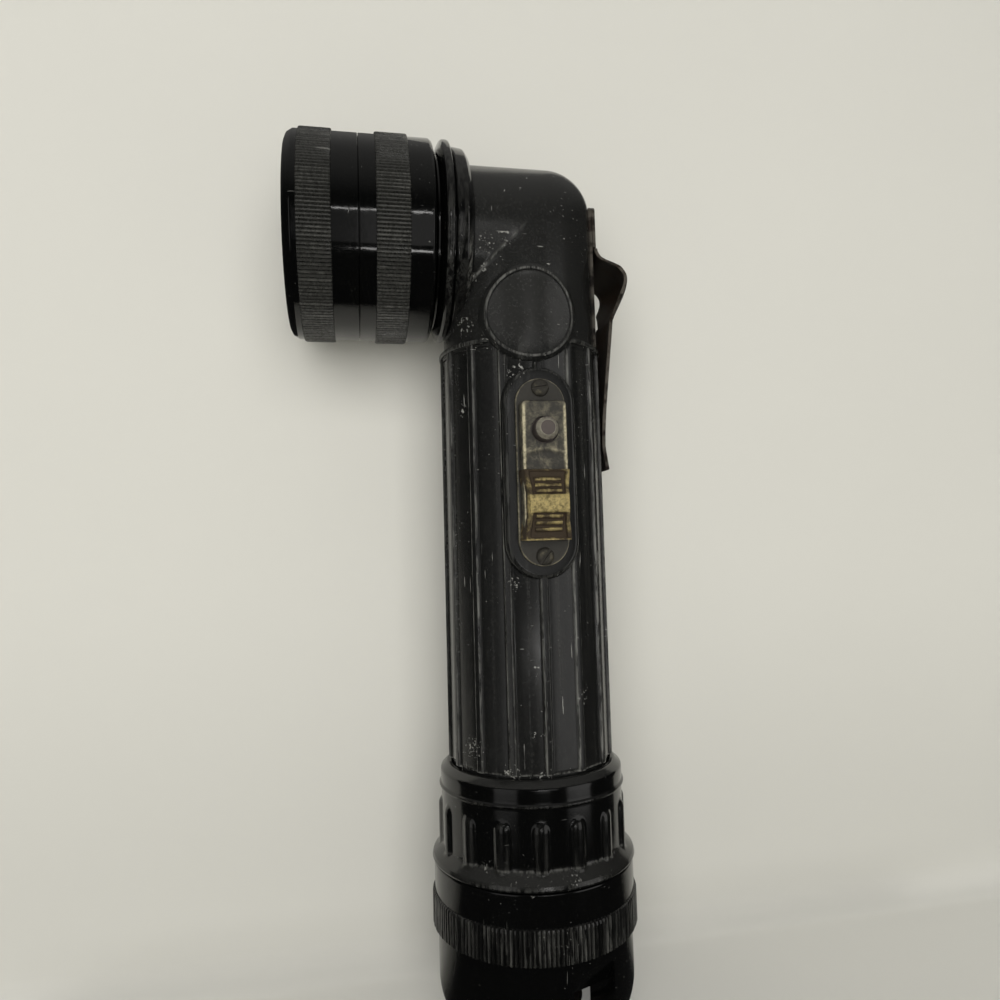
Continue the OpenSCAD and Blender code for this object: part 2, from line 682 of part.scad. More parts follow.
module battery_cap() color([0.07, 0.07, 0.07]) difference() {
    bead_r = cap_body_r + 0.5;
    collar_r = cap_body_r + 0.15;
    union() {
        rotate_extrude() polygon([[0, floor_z - 1], [spigot_in_r - 0.5, floor_z - 1],
            [spigot_in_r - 0.5, spigot_z], [spigot_r, spigot_z], [spigot_r, cap_z], [flare_r - 0.4, cap_z],
            [flare_r, cap_z + 0.4], [flare_r, cap_z + 0.8], [cap_body_r, cap_z + 3.4],
            [cap_body_r, cap_top - 5.6], [bead_r, cap_top - 5.2], [bead_r, cap_top - 4.8],
            [collar_r, cap_top - 4.4], [collar_r, cap_top - 1.4],
            [cap_body_r - 0.3, cap_top - 0.6], [cap_body_r - 1, cap_top - 0.1], [cap_body_r - 1.5, cap_top],
            [0, cap_top]]);
        for (i = [0 : cap_rib_count - 1]) {
            rotate(-8 + i * 360 / cap_rib_count) translate([0, 2.5 - cap_rib_r, cap_z + 0.9]) {
                cylinder(r = 2.5, h = cap_top - cap_z - 11.1, $fn = 32);
                translate([0, 0, cap_top - cap_z - 11.1]) sphere(r = 2.5, $fn = 32);
            }
        }
    }
    translate([0, 0, floor_top]) cylinder(r = cap_bore_r, h = cap_grip + 1);
    translate([0, 0, spigot_z - 1]) cylinder(r = spigot_in_r, h = floor_z - spigot_z + 1);
}

module store_gasket() color([0.05, 0.05, 0.05]) {
    ring(store_in_r + 0.1, store_bore_r - 0.15, step_z + seat_gap, spigot_z - part_gap);
}

module filter_disc(i) {
    translate([0, 0, store_floor_top + seat_gap + i * (filter_t + seat_gap)])
        cylinder(r = store_in_r - 0.4, h = filter_t);
}

module filter_red() color([0.75, 0.08, 0.06, 0.7]) filter_disc(0);

module filter_amber() color([0.85, 0.5, 0.1, 0.7]) filter_disc(1);

module filter_diffuser() color([0.9, 0.9, 0.88, 0.8]) filter_disc(2);

stack_top = store_floor_top + seat_gap + 3 * (filter_t + seat_gap);
spare_z = stack_top + bulb_flange_r + 0.9;

module place_spare() {
    translate([-17, 0, spare_z]) rotate([0, 90, 0]) children();
}

module bulb_cushion() color([0.25, 0.25, 0.24]) difference() {
    translate([0, 0, stack_top]) cylinder(r = spigot_in_r - 1, h = 6);
    place_spare() {
        translate([0, 0, bulb_tip_u - 0.3]) cylinder(r = bulb_base_r + 0.15, h = bulb_len + 0.6);
        translate([0, 0, bulb_flange_u - 0.2]) cylinder(r = bulb_flange_r + 0.2, h = 1.2);
        translate([0, 0, bulb_glass_u]) sphere(r = bulb_glass_r + 0.3);
    }
}

module spare_glass() color([0.9, 0.92, 0.95, 0.35]) place_spare() bulb_shape_glass();

module spare_base() color([0.78, 0.62, 0.3]) place_spare() bulb_shape_base();

module store_cap() color([0.07, 0.07, 0.07]) difference() {
    union() {
        rotate_extrude() polygon(concat([[0, 0]],
            [for (i = [0 : 10]) [base_flat_r + 6.5 * sin(i * 9), base_round_h * (1 - cos(i * 9))]],
            [[store_low_r, knurl_low_z], [store_band_r, knurl_low_z], [store_band_r, store_h - 0.5],
            [store_band_r - 0.5, store_h], [0, store_h]]));
        knurl(store_in_r, store_band_r + knurl_h, knurl_h - 0.05, knurl_teeth, knurl_low_z, knurl_high_z);
    }
    translate([0, 0, step_z]) cylinder(r = store_bore_r, h = store_h);
    translate([0, 0, store_floor_top]) cylinder(r = store_in_r, h = store_h);
    translate([0, 0, -1]) cylinder(r = recess_r, h = recess_h + 1);
    // finger notch through the rim, with a sloped upper face
    rotate([0, 0, notch_turn]) translate([-notch_w / 2, 0, 0]) rotate([90, 0, 90]) linear_extrude(notch_w)
        polygon([[-recess_r + 4, -1], [-recess_r + 4, recess_h - 0.3], [-store_in_r + 0.1, recess_h - 0.3],
            [-store_low_r - 0.4, knurl_low_z - 0.2], [-store_low_r - 8, knurl_low_z - 0.2],
            [-store_low_r - 8, -1]]);
    cylinder(r = 1.65, h = store_h);
    translate([0, 0, store_floor_top - 1.1]) cylinder(r = 2.8, h = 4);
}

module hang_post() color([0.2, 0.19, 0.18]) difference() {
    union() {
        cylinder(r = hang_post_r, h = recess_h);
        cylinder(r = 1.6, h = store_floor_top - 0.5);
        translate([0, 0, store_floor_top - 1]) cylinder(r = 2.6, h = 0.8);
    }
    rotate([0, 0, notch_turn]) translate([-10, 0, hang_z]) rotate([0, 90, 0])
        cylinder(d = ring_wire + 0.6, h = 20);
}

module hang_ring() color([0.25, 0.24, 0.22]) translate([0, 0, hang_z]) rotate([0, 0, notch_turn]) {
    translate([-hang_r, 0, 0]) rotate([0, 90, 0]) cylinder(d = ring_wire, h = 2 * hang_r);
    rotate([0, 0, 180]) rotate_extrude(angle = 180) translate([hang_r, 0]) circle(d = ring_wire, $fn = 32);
    for (s = [-1, 1]) {
        translate([s * hang_r, 0, 0]) sphere(d = ring_wire, $fn = 32);
    }
}

body_shell();
lamp_contact();
contact_strip();
cell_lower();
cell_upper();
cell_caps();
switch_plate();
switch_screws();
switch_board();
contact_rail();
signal_contact();
button_spring();
switch_slide();
slide_shoe();
switch_button();
clip_base();
clip_root();
clip_rivets();
clip_leaf();
reflector();
lens_gasket();
clear_lens();
bulb_glass();
bulb_base();
bulb_holder();
lens_ring();
front_window();
filter_ring();
cap_gasket();
tail_spring();
spring_plate();
battery_cap();
store_gasket();
filter_red();
filter_amber();
filter_diffuser();
bulb_cushion();
spare_glass();
spare_base();
store_cap();
hang_post();
hang_ring();
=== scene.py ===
"""Looks of the angle head flashlight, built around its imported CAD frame.

Shapes are written in millimetres in the CAD frame and turned into metres when a mesh is made.
+Z runs up the tube, the head points to -X, the switch faces -Y and the clip is at +X.
"""
import math

import bmesh
import bpy
import numpy as np
from mathutils import Matrix, Vector


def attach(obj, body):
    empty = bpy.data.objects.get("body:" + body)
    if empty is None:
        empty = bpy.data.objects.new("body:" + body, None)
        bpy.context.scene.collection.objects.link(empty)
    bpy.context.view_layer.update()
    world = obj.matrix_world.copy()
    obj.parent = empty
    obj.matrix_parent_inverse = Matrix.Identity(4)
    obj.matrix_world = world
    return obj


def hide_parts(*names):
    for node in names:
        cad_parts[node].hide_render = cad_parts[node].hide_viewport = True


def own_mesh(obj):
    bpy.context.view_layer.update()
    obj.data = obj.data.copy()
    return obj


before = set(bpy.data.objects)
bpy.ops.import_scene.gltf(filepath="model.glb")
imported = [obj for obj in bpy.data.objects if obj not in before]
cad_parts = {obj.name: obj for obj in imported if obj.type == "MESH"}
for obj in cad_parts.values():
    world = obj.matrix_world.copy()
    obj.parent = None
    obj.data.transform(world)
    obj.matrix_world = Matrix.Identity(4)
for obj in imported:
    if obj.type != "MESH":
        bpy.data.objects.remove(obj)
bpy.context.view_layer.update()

MM = 0.001

# Sizes that the pieces share with the CAD source, in millimetres
HEAD_Z = 183.3
PANEL_R = 18.9
RIB_H = 0.7
RIB_W = 1.7
RIB_COUNT = 15
TUBE_R = PANEL_R + RIB_H
ELBOW_R = 18.6
CORNER_ROUND = 11.4
NECK_R = 18.6
NECK_Z = 41.5
TUBE_Z = 57.95
COLLAR_Z = 154.6
MEDAL_Z = 160.9
MEDAL_X = -1.0
MEDAL_R = 11.4
RING_R = 23.75
KNURL_H = 0.6
HEAD_TEETH = 178
TAIL_TEETH = 150
SWITCH_Z = 124.4
PAD_D = 19.9
PLATE_D = 20.7
TRACK_D = 24.0
SLIDE_Z = 116.85
SLIDE_D = 24.3
BUTTON_Z = 133.2
CLIP_MID_R = 19.4
CLIP_T = 0.8
CLIP_TOP_Z = 193.0
CLIP_BEND_Z = 181.5
CLIP_TIP_Z = 126.6
NOTCH_TURN = 21.0
# The outermost point of the clip's leaf, just inside the CAD box
LEAF_APEX_R = 27.57

# Mesh helpers


def smooth_step(low, high, x):
    t = np.clip((x - low) / (high - low), 0.0, 1.0)
    return t * t * (3.0 - 2.0 * t)


def bell(x, centre, width):
    """A smooth hump: 1 at its centre, and close to 0 two widths away."""
    return np.exp(-((x - centre) / width) ** 2)


def turn_angles(count):
    """Equal steps of one full turn."""
    return np.arange(count) * 2 * math.pi / count


def add_object(name, data):
    thing = bpy.data.objects.new(name, data)
    bpy.context.scene.collection.objects.link(thing)
    return thing


def mesh_of(name, points, faces):
    """A mesh from points in millimetres."""
    mesh = bpy.data.meshes.new(name)
    mesh.from_pydata([tuple(float(c) * MM for c in p) for p in points], [], faces)
    return mesh


def add_field(mesh, name, values):
    field = mesh.attributes.new(name, "FLOAT", "POINT")
    if values is None:
        values = np.zeros(len(mesh.vertices))
    field.data.foreach_set("value", np.asarray(values, dtype=np.float32))


def face_outward(mesh):
    work = bmesh.new()
    work.from_mesh(mesh)
    bmesh.ops.recalc_face_normals(work, faces=work.faces)
    work.to_mesh(mesh)
    work.free()


def soften(mesh, angle):
    mesh.shade_smooth()
    mesh.set_sharp_from_angle(angle=math.radians(angle))


def make_piece(name, points, faces, look, body, hides=(), angle=32.0, wear=None, tone=None):
    """Makes a mesh piece from points in millimetres, with per-point wear and tone for its look."""
    mesh = mesh_of(name, points, faces)
    mesh.validate()
    add_field(mesh, "wear", wear)
    add_field(mesh, "tone", tone)
    piece = add_object(name, mesh)
    face_outward(mesh)
    soften(mesh, angle)
    mesh.materials.append(look)
    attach(piece, body)
    if hides:
        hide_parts(*hides)
    return piece


def apply_modifiers(piece, angle):
    """Replaces the piece's mesh by the one its modifiers give, and shades it again."""
    bpy.context.view_layer.update()
    graph = bpy.context.evaluated_depsgraph_get()
    result = bpy.data.meshes.new_from_object(piece.evaluated_get(graph))
    piece.modifiers.clear()
    old = piece.data
    piece.data = result
    bpy.data.meshes.remove(old)
    soften(result, angle)


def cut_away(piece, points, faces, angle):
    """Cuts the closed form given in millimetres out of the piece."""
    mesh = mesh_of("cutter", points, faces)
    face_outward(mesh)
    cutter = add_object("cutter", mesh)
    cut = piece.modifiers.new("cut", "BOOLEAN")
    cut.operation = "DIFFERENCE"
    cut.solver = "EXACT"
    cut.object = cutter
    apply_modifiers(piece, angle)
    bpy.data.objects.remove(cutter)
    bpy.data.meshes.remove(mesh)


def round_edges(piece, width, segments=3):
    bevel = piece.modifiers.new("edge", "BEVEL")
    bevel.width = width * MM
    bevel.segments = segments
    bevel.limit_method = "ANGLE"
    apply_modifiers(piece, 40)


def grid_faces(rows, columns, wrap_rows=False, wrap_columns=True):
    faces = []
    for i in range(rows if wrap_rows else rows - 1):
        for j in range(columns if wrap_columns else columns - 1):
            a, b = i, (i + 1) % rows
            c, d = j, (j + 1) % columns
            faces.append((a * columns + c, a * columns + d, b * columns + d, b * columns + c))
    return faces


def end_caps(rows, columns):
    """The two faces that close a row of loops at its ends."""
    last = (rows - 1) * columns
    return [tuple(range(columns))[::-1], tuple(range(last, last + columns))]


def fillet(corners):
    """Rounds a polyline: each corner is (r, h, radius), and the rounding is a curve of a few points."""
    steps = 5
    points = []
    count = len(corners)
    for i in range(count):
        here = np.array(corners[i][:2], dtype=float)
        radius = corners[i][2]
        before = np.array(corners[i - 1][:2], dtype=float) - here
        after = np.array(corners[(i + 1) % count][:2], dtype=float) - here
        la, lb = np.linalg.norm(before), np.linalg.norm(after)
        if radius <= 0 or la < 1e-6 or lb < 1e-6:
            points.append(tuple(here))
            continue
        before, after = before / la, after / lb
        half = math.acos(float(np.clip(before @ after, -1, 1))) / 2
        reach = min(radius / max(math.tan(half), 1e-3), 0.48 * la, 0.48 * lb)
        for k in range(steps + 1):
            t = k / steps
            points.append(tuple(here + before * reach * (1 - t) ** 2 + after * reach * t ** 2))
    return points


def hold_flats(profile):
    """Adds points close to both ends of every long straight run, so that smooth shading keeps it flat."""
    gap = 0.1
    held = []
    for a, b in zip(profile, profile[1:] + profile[:1]):
        held.append(a)
        length = math.hypot(b[0] - a[0], b[1] - a[1])
        if length > 6 * gap:
            for t in (gap / length, 1 - gap / length):
                held.append((a[0] + (b[0] - a[0]) * t, a[1] + (b[1] - a[1]) * t))
    return held


def on_tube(r, angle, z):
    """A point around the tube axis; the angle runs from -Y towards +X."""
    return (r * math.sin(angle), -r * math.cos(angle), z)


def on_head(r, angle, u):
    """A point around the head axis; the angle runs from -Y towards +Z."""
    return (-u, -r * math.cos(angle), HEAD_Z + r * math.sin(angle))


def on_front(z):
    """Places points around the -Y direction at that height; d is the distance out."""
    return lambda r, angle, d: (r * math.cos(angle), -d, z + r * math.sin(angle))


def on_side(z):
    """Places points around the +X direction at that height."""
    return lambda r, angle, x: (x, r * math.cos(angle), z + r * math.sin(angle))


def lathe(place, profile, segments, closed=True, swell=None):
    """Turns a profile of (r, h) points; swell(angles, i) adds to the radius of profile point i.

    A profile that isn't closed gets flat ends.
    """
    angles = turn_angles(segments)
    points = []
    for i, (r, h) in enumerate(profile):
        grow = swell(angles, i) if swell else np.zeros(segments)
        points += [place(r + grow[j], angles[j], h) for j in range(segments)]
    faces = grid_faces(len(profile), segments, wrap_rows=closed)
    return points, faces if closed else faces + end_caps(len(profile), segments)


def turned(name, place, profile, segments, look, body, hides=(), angle=32.0, wear=None, tone=None,
           closed=True, swell=None):
    """Makes a turned piece; wear and tone hold a value, or one for each angle, per profile point."""
    points, faces = lathe(place, profile, segments, closed, swell)

    def spread(rows):
        return None if rows is None else np.concatenate([np.broadcast_to(row, segments) for row in rows])

    return make_piece(name, points, faces, look, body, hides, angle, spread(wear), spread(tone))


def stadium(width, length, count=40):
    """Outline of a slot shape around (0, 0), as (x, z) pairs."""
    r = width / 2
    rise = (length - width) / 2
    upper = [(r * math.cos(a), rise + r * math.sin(a)) for a in np.linspace(0, math.pi, count)]
    return upper + [(-x, -z) for x, z in upper]


def stacked_slots(name, width, length, levels, look, hides=(), angle=50, tone=0.0):
    """Stacks slot outlines on the switch side; a level is (inset, distance out to -Y, wear)."""
    points = []
    for inset, d, _ in levels:
        points += [(x, -d, SWITCH_Z + z) for x, z in stadium(width - 2 * inset, length - 2 * inset)]
    count = len(points) // len(levels)
    faces = grid_faces(len(levels), count) + end_caps(len(levels), count)
    wear = np.repeat([level[2] for level in levels], count)
    return make_piece(name, points, faces, look, "case", hides, angle, wear, np.full(len(points), tone))


def block(low, high):
    xs, ys, zs = zip(low, high)
    points = [(x, y, z) for x in xs for y in ys for z in zs]
    faces = [(0, 1, 3, 2), (4, 6, 7, 5), (0, 4, 5, 1), (2, 3, 7, 6), (0, 2, 6, 4), (1, 5, 7, 3)]
    return points, faces


# Materials


class Graph:
    """Short ways to add shader nodes to a material or the world."""

    def __init__(self, owner):
        owner.use_nodes = True
        self.owner = owner
        self.tree = owner.node_tree
        self.shader = self.tree.nodes.get("Principled BSDF")
        self.place = self.node("TexCoord").outputs["Object"]

    def put(self, socket, value):
        if isinstance(value, bpy.types.NodeSocket):
            self.tree.links.new(value, socket)
        else:
            socket.default_value = value

    def node(self, kind, **inputs):
        """A new node; in the names of its inputs, _ stands for a space."""
        made = self.tree.nodes.new("ShaderNode" + kind)
        for name, value in inputs.items():
            self.put(made.inputs[name.replace("_", " ")], value)
        return made

    def math(self, kind, a, b=0.5, c=0.5):
        node = self.node("Math")
        node.operation = kind
        for socket, value in zip(node.inputs, (a, b, c)):
            self.put(socket, value)
        return node.outputs[0]

    def times(self, a, b, plus=None):
        """a times b, plus something where that is given."""
        return self.math("MULTIPLY", a, b) if plus is None else self.math("MULTIPLY_ADD", a, b, plus)

    def most(self, a, b):
        return self.math("MAXIMUM", a, b)

    def least(self, a, b):
        return self.math("MINIMUM", a, b)

    def stretch(self, scale, turn=(0, 0, 0)):
        return self.node("Mapping", Vector=self.place, Scale=scale, Rotation=turn).outputs[0]

    def split(self, vector):
        return self.node("SeparateXYZ", Vector=vector).outputs

    def noise(self, scale, detail=3.0, rough=0.5, distort=0.0, vector=None):
        node = self.node("TexNoise", Vector=vector or self.place, Scale=scale, Detail=detail, Roughness=rough,
                         Distortion=distort)
        return node.outputs["Fac"]

    def ramp(self, value, low, high, out_low=0.0, out_high=1.0):
        """A smooth rise from one level to another; it falls where low is above high."""
        node = self.node("MapRange", Value=value, From_Min=low, From_Max=high, To_Min=out_low,
                         To_Max=out_high)
        node.interpolation_type = "SMOOTHSTEP"
        return node.outputs[0]

    def level(self, amount, a, b):
        """Blends two numbers."""
        return self.node("Mix", Factor=amount, A=a, B=b).outputs["Result"]

    def mix(self, amount, a, b):
        """Blends two colours."""
        node = self.node("Mix")
        node.data_type = "RGBA"
        self.put(node.inputs["Factor"], amount)
        for name, color in (("A", a), ("B", b)):
            self.put(node.inputs[name], (*color, 1.0) if isinstance(color, tuple) else color)
        return node.outputs["Result"]

    def field(self, name):
        node = self.node("Attribute")
        node.attribute_name = name
        return node.outputs["Fac"]

    def near(self, place, radius):
        """1 at a place given in millimetres, falling to 0 at that radius."""
        node = self.node("VectorMath")
        node.operation = "DISTANCE"
        self.put(node.inputs[0], self.place)
        node.inputs[1].default_value = tuple(c * MM for c in place)
        return self.ramp(node.outputs["Value"], radius * MM, 0.25 * radius * MM)

    def bump(self, height, distance, strength=1.0, before=None):
        node = self.node("Bump", Height=height, Distance=distance, Strength=strength)
        if before:
            self.put(node.inputs["Normal"], before)
        return node.outputs[0]

    def set(self, **values):
        names = {"color": "Base Color", "rough": "Roughness", "metal": "Metallic", "normal": "Normal",
                 "spec": "Specular IOR Level", "ior": "IOR", "through": "Transmission Weight"}
        for key, value in values.items():
            self.put(self.shader.inputs[names[key]], value)
        return self.owner


def worn_plastic(name, color, pale, rough, nicks=1.0, scratch=1.0, dust=0.3, grain=1.0, streaks=0.0,
                 dents=0.000006, chips=()):
    """Black moulded plastic: fine dust, rubbed edges, nicks, short scratches, and chips around given places.

    The upright streaks stay below the collar and turn into an even film above it. Dents is the depth of the
    face's slow waves, in metres. The wear and tone fields also carry painted light where pieces put it there:
    painted highlights along rib edges and on the tail cap's up-facing faces, and painted shade on the switch
    pad.
    """
    g = Graph(bpy.data.materials.new(name))
    cluster = g.noise(55.0, 3.0, 0.6)
    film = g.noise(260.0, 4.0, 0.6, 0.3)
    powder = g.noise(1500.0, 4.0, 0.75)
    wear = g.field("wear")
    tone = g.field("tone")
    dust_and_painted_light = g.times(g.ramp(powder, 0.45, 0.75), dust)
    # The tone field adds to the dust: real dust on most pieces, a painted highlight on the tail cap's
    # up-facing faces, and painted shade where it is below 0
    dust_and_painted_light = g.times(tone, g.ramp(powder, 0.3, 0.7, 0.75, 1.0), dust_and_painted_light)
    upright = g.noise(430.0, 3.0, 0.65, vector=g.stretch((1.0, 1.0, 0.02)))
    below = g.ramp(g.split(g.place)["Z"], (COLLAR_Z + 2) * MM, (COLLAR_Z - 3) * MM)
    even = 0.32
    upright = g.math("SUBTRACT", g.ramp(upright, 0.48, 0.72), even)
    upright = g.times(upright, below, even)
    dust_and_painted_light = g.times(upright, streaks, dust_and_painted_light)
    base = g.mix(g.least(dust_and_painted_light, 1.0), color, tuple(0.6 * c + 0.4 * p for c, p in zip(color, pale)))
    patch = g.ramp(cluster, 0.36, 0.62, 0.35, 1.0)
    streaky = g.noise(1100.0, 4.0, 0.7, vector=g.stretch((1.0, 1.0, 0.12)))
    # The wear field shows rubbed, paler plastic; along the ribs' edges it is partly a painted highlight
    rub = g.times(wear, g.ramp(streaky, 0.38, 0.6))
    rub = g.least(g.times(rub, patch), 1.0)
    base = g.mix(rub, base, pale)
    struck = 0.0
    for place, radius in chips:
        struck = g.most(g.near(place, radius), struck)
    speck = g.times(struck, 0.115, g.noise(1150.0, 3.0, 0.65))
    speck = g.ramp(speck, 0.69, 0.73)
    speck = g.times(speck, g.most(g.ramp(cluster, 0.5, 0.66), struck))
    along = g.noise(2100.0, 1.0, 0.5, vector=g.stretch((1.0, 1.0, 0.05), (0.35, 0.5, 0.2)))
    aslant = g.noise(2300.0, 1.0, 0.5, vector=g.stretch((0.05, 1.0, 1.0), (0.4, 0.7, 0.9)))
    region = g.noise(95.0, 2.0)
    along = g.times(g.ramp(along, 0.735, 0.76), g.ramp(region, 0.55, 0.66))
    around = g.most(g.ramp(region, 0.45, 0.34), struck)
    aslant = g.times(g.ramp(aslant, 0.735, 0.76), around)
    streak = g.most(along, aslant)
    marks = g.most(g.times(speck, nicks), g.times(streak, scratch))
    base = g.mix(marks, base, (0.3, 0.3, 0.28))
    shine = g.times(g.ramp(film, 0.3, 0.75), 0.05, rough - 0.02)
    shine = g.times(g.most(dust_and_painted_light, rub), 0.35, shine)
    shine = g.times(marks, 0.3, shine)
    grainy = g.bump(powder, 0.00001, 0.15 * grain)
    dented = g.bump(film, dents, 1.0, grainy)
    nicked = g.bump(marks, -0.00006, 0.8, dented)
    return g.set(color=base, rough=shine, normal=nicked, spec=0.5)


def aged_brass(name, bright, dark, cover, rough=0.34, pitted=0.55, sheen=1.0, mottle=0.6):
    """Brass under a brown film: the wear field shows bright metal, the tone field keeps it dark."""
    g = Graph(bpy.data.materials.new(name))
    wear = g.field("wear")
    tone = g.field("tone")
    cloud = g.noise(310.0, 5.0, 0.65, 0.6)
    pits = g.noise(1500.0, 3.0, 0.6)
    film = g.times(g.ramp(cloud, 0.3, 0.7), mottle, cover - mottle / 2)
    film = g.math("ADD", film, tone)
    film = g.math("SUBTRACT", film, g.times(wear, g.ramp(pits, 0.2, 0.6, 0.55, 1.0)))
    film = g.ramp(film, 0.15, 0.85)
    speck = g.ramp(g.noise(1300.0, 3.0, 0.6), 0.38, 0.7)
    color = g.mix(film, bright, dark)
    color = g.mix(g.times(speck, pitted), color, tuple(c * 0.8 for c in dark))
    metal = g.times(film, -0.55 * sheen, sheen)
    shine = g.times(film, 0.2, rough)
    scuffed = g.bump(pits, 0.00002, 0.6)
    rolled = g.bump(cloud, 0.00005, 0.4, scuffed)
    return g.set(color=color, metal=metal, rough=shine, normal=rolled)


def dark_steel(name, color, rust, rust_level, rough=0.42):
    """Blackened spring steel with rust blooming in patches and on its rubbed edges."""
    g = Graph(bpy.data.materials.new(name))
    wear = g.field("wear")
    tone = g.field("tone")
    cloud = g.noise(130.0, 5.0, 0.65, 0.8)
    grain = g.noise(1900.0, 3.0, 0.6)
    bloom = g.math("ADD", g.ramp(cloud, 0.62 - rust_level, 0.95 - rust_level), tone)
    bloom = g.least(g.times(bloom, g.ramp(grain, 0.2, 0.7, 0.5, 1.0)), 1.0)
    base = g.mix(g.ramp(cloud, 0.3, 0.7), color, tuple(c * 1.6 for c in color))
    base = g.mix(bloom, base, rust)
    rub = g.times(wear, g.ramp(g.noise(500.0, 3.0), 0.35, 0.6))
    base = g.mix(rub, base, (0.22, 0.20, 0.17))
    metal = g.times(bloom, -0.7, 0.85)
    shine = g.times(bloom, 0.35, rough)
    pitted = g.bump(grain, 0.00003, 0.5)
    return g.set(color=base, metal=metal, rough=shine, normal=pitted)


def plain_metal(name, color, rough):
    g = Graph(bpy.data.materials.new(name))
    cloud = g.noise(220.0, 4.0, 0.6)
    brushed = g.noise(900.0, 2.0, 0.5, vector=g.stretch((1.0, 1.0, 0.06)))
    base = g.mix(g.ramp(cloud, 0.3, 0.72), color, tuple(c * 0.72 for c in color))
    shine = g.times(brushed, 0.2, rough - 0.08)
    return g.set(color=base, metal=1.0, rough=shine, normal=g.bump(brushed, 0.00001, 0.5))


def soft_rubber(name, color):
    g = Graph(bpy.data.materials.new(name))
    cloud = g.noise(190.0, 4.0, 0.6)
    grain = g.noise(2400.0, 2.0)
    base = g.mix(g.ramp(cloud, 0.3, 0.7), color, tuple(c * 1.7 + 0.01 for c in color))
    return g.set(color=base, rough=g.ramp(cloud, 0.2, 0.8, 0.55, 0.8), normal=g.bump(grain, 0.00003, 0.5))


def clear_glass(name, tint, rough=0.03, haze=0.12):
    g = Graph(bpy.data.materials.new(name))
    smear = g.noise(140.0, 4.0, 0.6)
    shine = g.times(g.ramp(smear, 0.45, 0.8), haze, rough)
    color = g.mix(g.ramp(smear, 0.4, 0.8), tint, tuple(c * 0.93 for c in tint))
    return g.set(color=color, rough=shine, through=1.0, ior=1.49, normal=g.bump(smear, 0.00001, 0.2))


def sheet_plastic(name, color, through):
    g = Graph(bpy.data.materials.new(name))
    cloud = g.noise(90.0, 4.0, 0.6)
    base = g.mix(g.ramp(cloud, 0.3, 0.7), color, tuple(c * 0.85 for c in color))
    return g.set(color=base, rough=g.ramp(cloud, 0.3, 0.7, 0.12, 0.25), through=through, ior=1.49,
                 normal=g.bump(cloud, 0.00001, 0.2))


BLACK = (0.0068, 0.007, 0.0068)
GLOSSY = (0.0013, 0.0014, 0.0014)
PALE = (0.2, 0.2, 0.185)
# Places on the case and the tail that took knocks, each with a radius, in millimetres
CASE_CHIPS = [((-15.5, -11.5, 63), 5), ((-2.6, -18.8, 81), 2.2), ((-2.2, -18.8, 67), 2.2),
              ((-7.9, -17.4, 58.7), 4), ((-1.2, -19.2, 58.6), 3), ((-5, -18.9, 148), 4),
              ((-7, -18, 100), 3), ((-10.5, -17.3, 177.5), 4), ((-6.5, -17.8, 178.5), 3.5),
              ((-14, -12.5, 200), 4), ((9, -17, 74), 3.5), ((-16, -10.5, 140), 3),
              ((-16.4, -8.8, 167), 2), ((-14.8, -11.3, 168.5), 2), ((-13, -13.3, 170.3), 2),
              ((-11, -15, 172.3), 1.8), ((-15, -11, 160), 4.5)]
TAIL_CHIPS = [((-8, -22, 38.5), 3), ((4, -23, 37.5), 3.5), ((-15, -17, 40), 3)]
shell_black = worn_plastic("shell_black", BLACK, PALE, 0.2, dust=0.12, streaks=0.2, chips=CASE_CHIPS)
tail_black = worn_plastic("tail_black", GLOSSY, PALE, 0.13, nicks=0.6, scratch=0.2, dust=0.01, grain=0.5,
                          dents=0.000012, chips=TAIL_CHIPS)
ring_black = worn_plastic("ring_black", GLOSSY, (0.12, 0.12, 0.11), 0.08, nicks=0.4, scratch=0.4, dust=0.03,
                          grain=0.6, dents=0.00002)
holder_black = worn_plastic("holder_black", (0.02, 0.02, 0.02), PALE, 0.5, nicks=0.2, scratch=0.2)
plate_brass = aged_brass("plate_brass", (0.62, 0.56, 0.38), (0.042, 0.04, 0.035), 0.95, 0.36, sheen=0.5,
                         mottle=0.25)
slide_brass = aged_brass("slide_brass", (0.62, 0.5, 0.22), (0.05, 0.036, 0.023), 0.45, 0.4, 0.65, 0.7)
button_brass = aged_brass("button_brass", (0.5, 0.47, 0.38), (0.1, 0.085, 0.078), 0.8, 0.36, 0.3, 0.7)
screw_brass = aged_brass("screw_brass", (0.3, 0.27, 0.18), (0.045, 0.042, 0.035), 0.9, 0.34, 0.8)
contact_brass = aged_brass("contact_brass", (0.72, 0.53, 0.22), (0.2, 0.13, 0.05), 0.25, 0.28)
clip_steel = dark_steel("clip_steel", (0.014, 0.013, 0.012), (0.026, 0.016, 0.01), 0.18)
post_steel = dark_steel("post_steel", (0.05, 0.047, 0.042), (0.09, 0.045, 0.02), 0.12)
plated_steel = plain_metal("plated_steel", (0.6, 0.6, 0.58), 0.3)
mirror_metal = plain_metal("mirror_metal", (0.86, 0.86, 0.87), 0.12)
gasket_rubber = soft_rubber("gasket_rubber", (0.018, 0.018, 0.018))
cushion_rubber = soft_rubber("cushion_rubber", (0.09, 0.09, 0.085))
board_brown = soft_rubber("board_brown", (0.16, 0.07, 0.03))
jacket_tan = soft_rubber("jacket_tan", (0.42, 0.3, 0.12))
window_glass = clear_glass("window_glass", (0.93, 0.95, 0.94))
bulb_clear = clear_glass("bulb_clear", (0.96, 0.97, 0.97), 0.01, 0.03)
red_sheet = sheet_plastic("red_sheet", (0.6, 0.03, 0.02), 0.6)
amber_sheet = sheet_plastic("amber_sheet", (0.75, 0.36, 0.04), 0.6)
milky_sheet = sheet_plastic("milky_sheet", (0.82, 0.82, 0.78), 0.25)

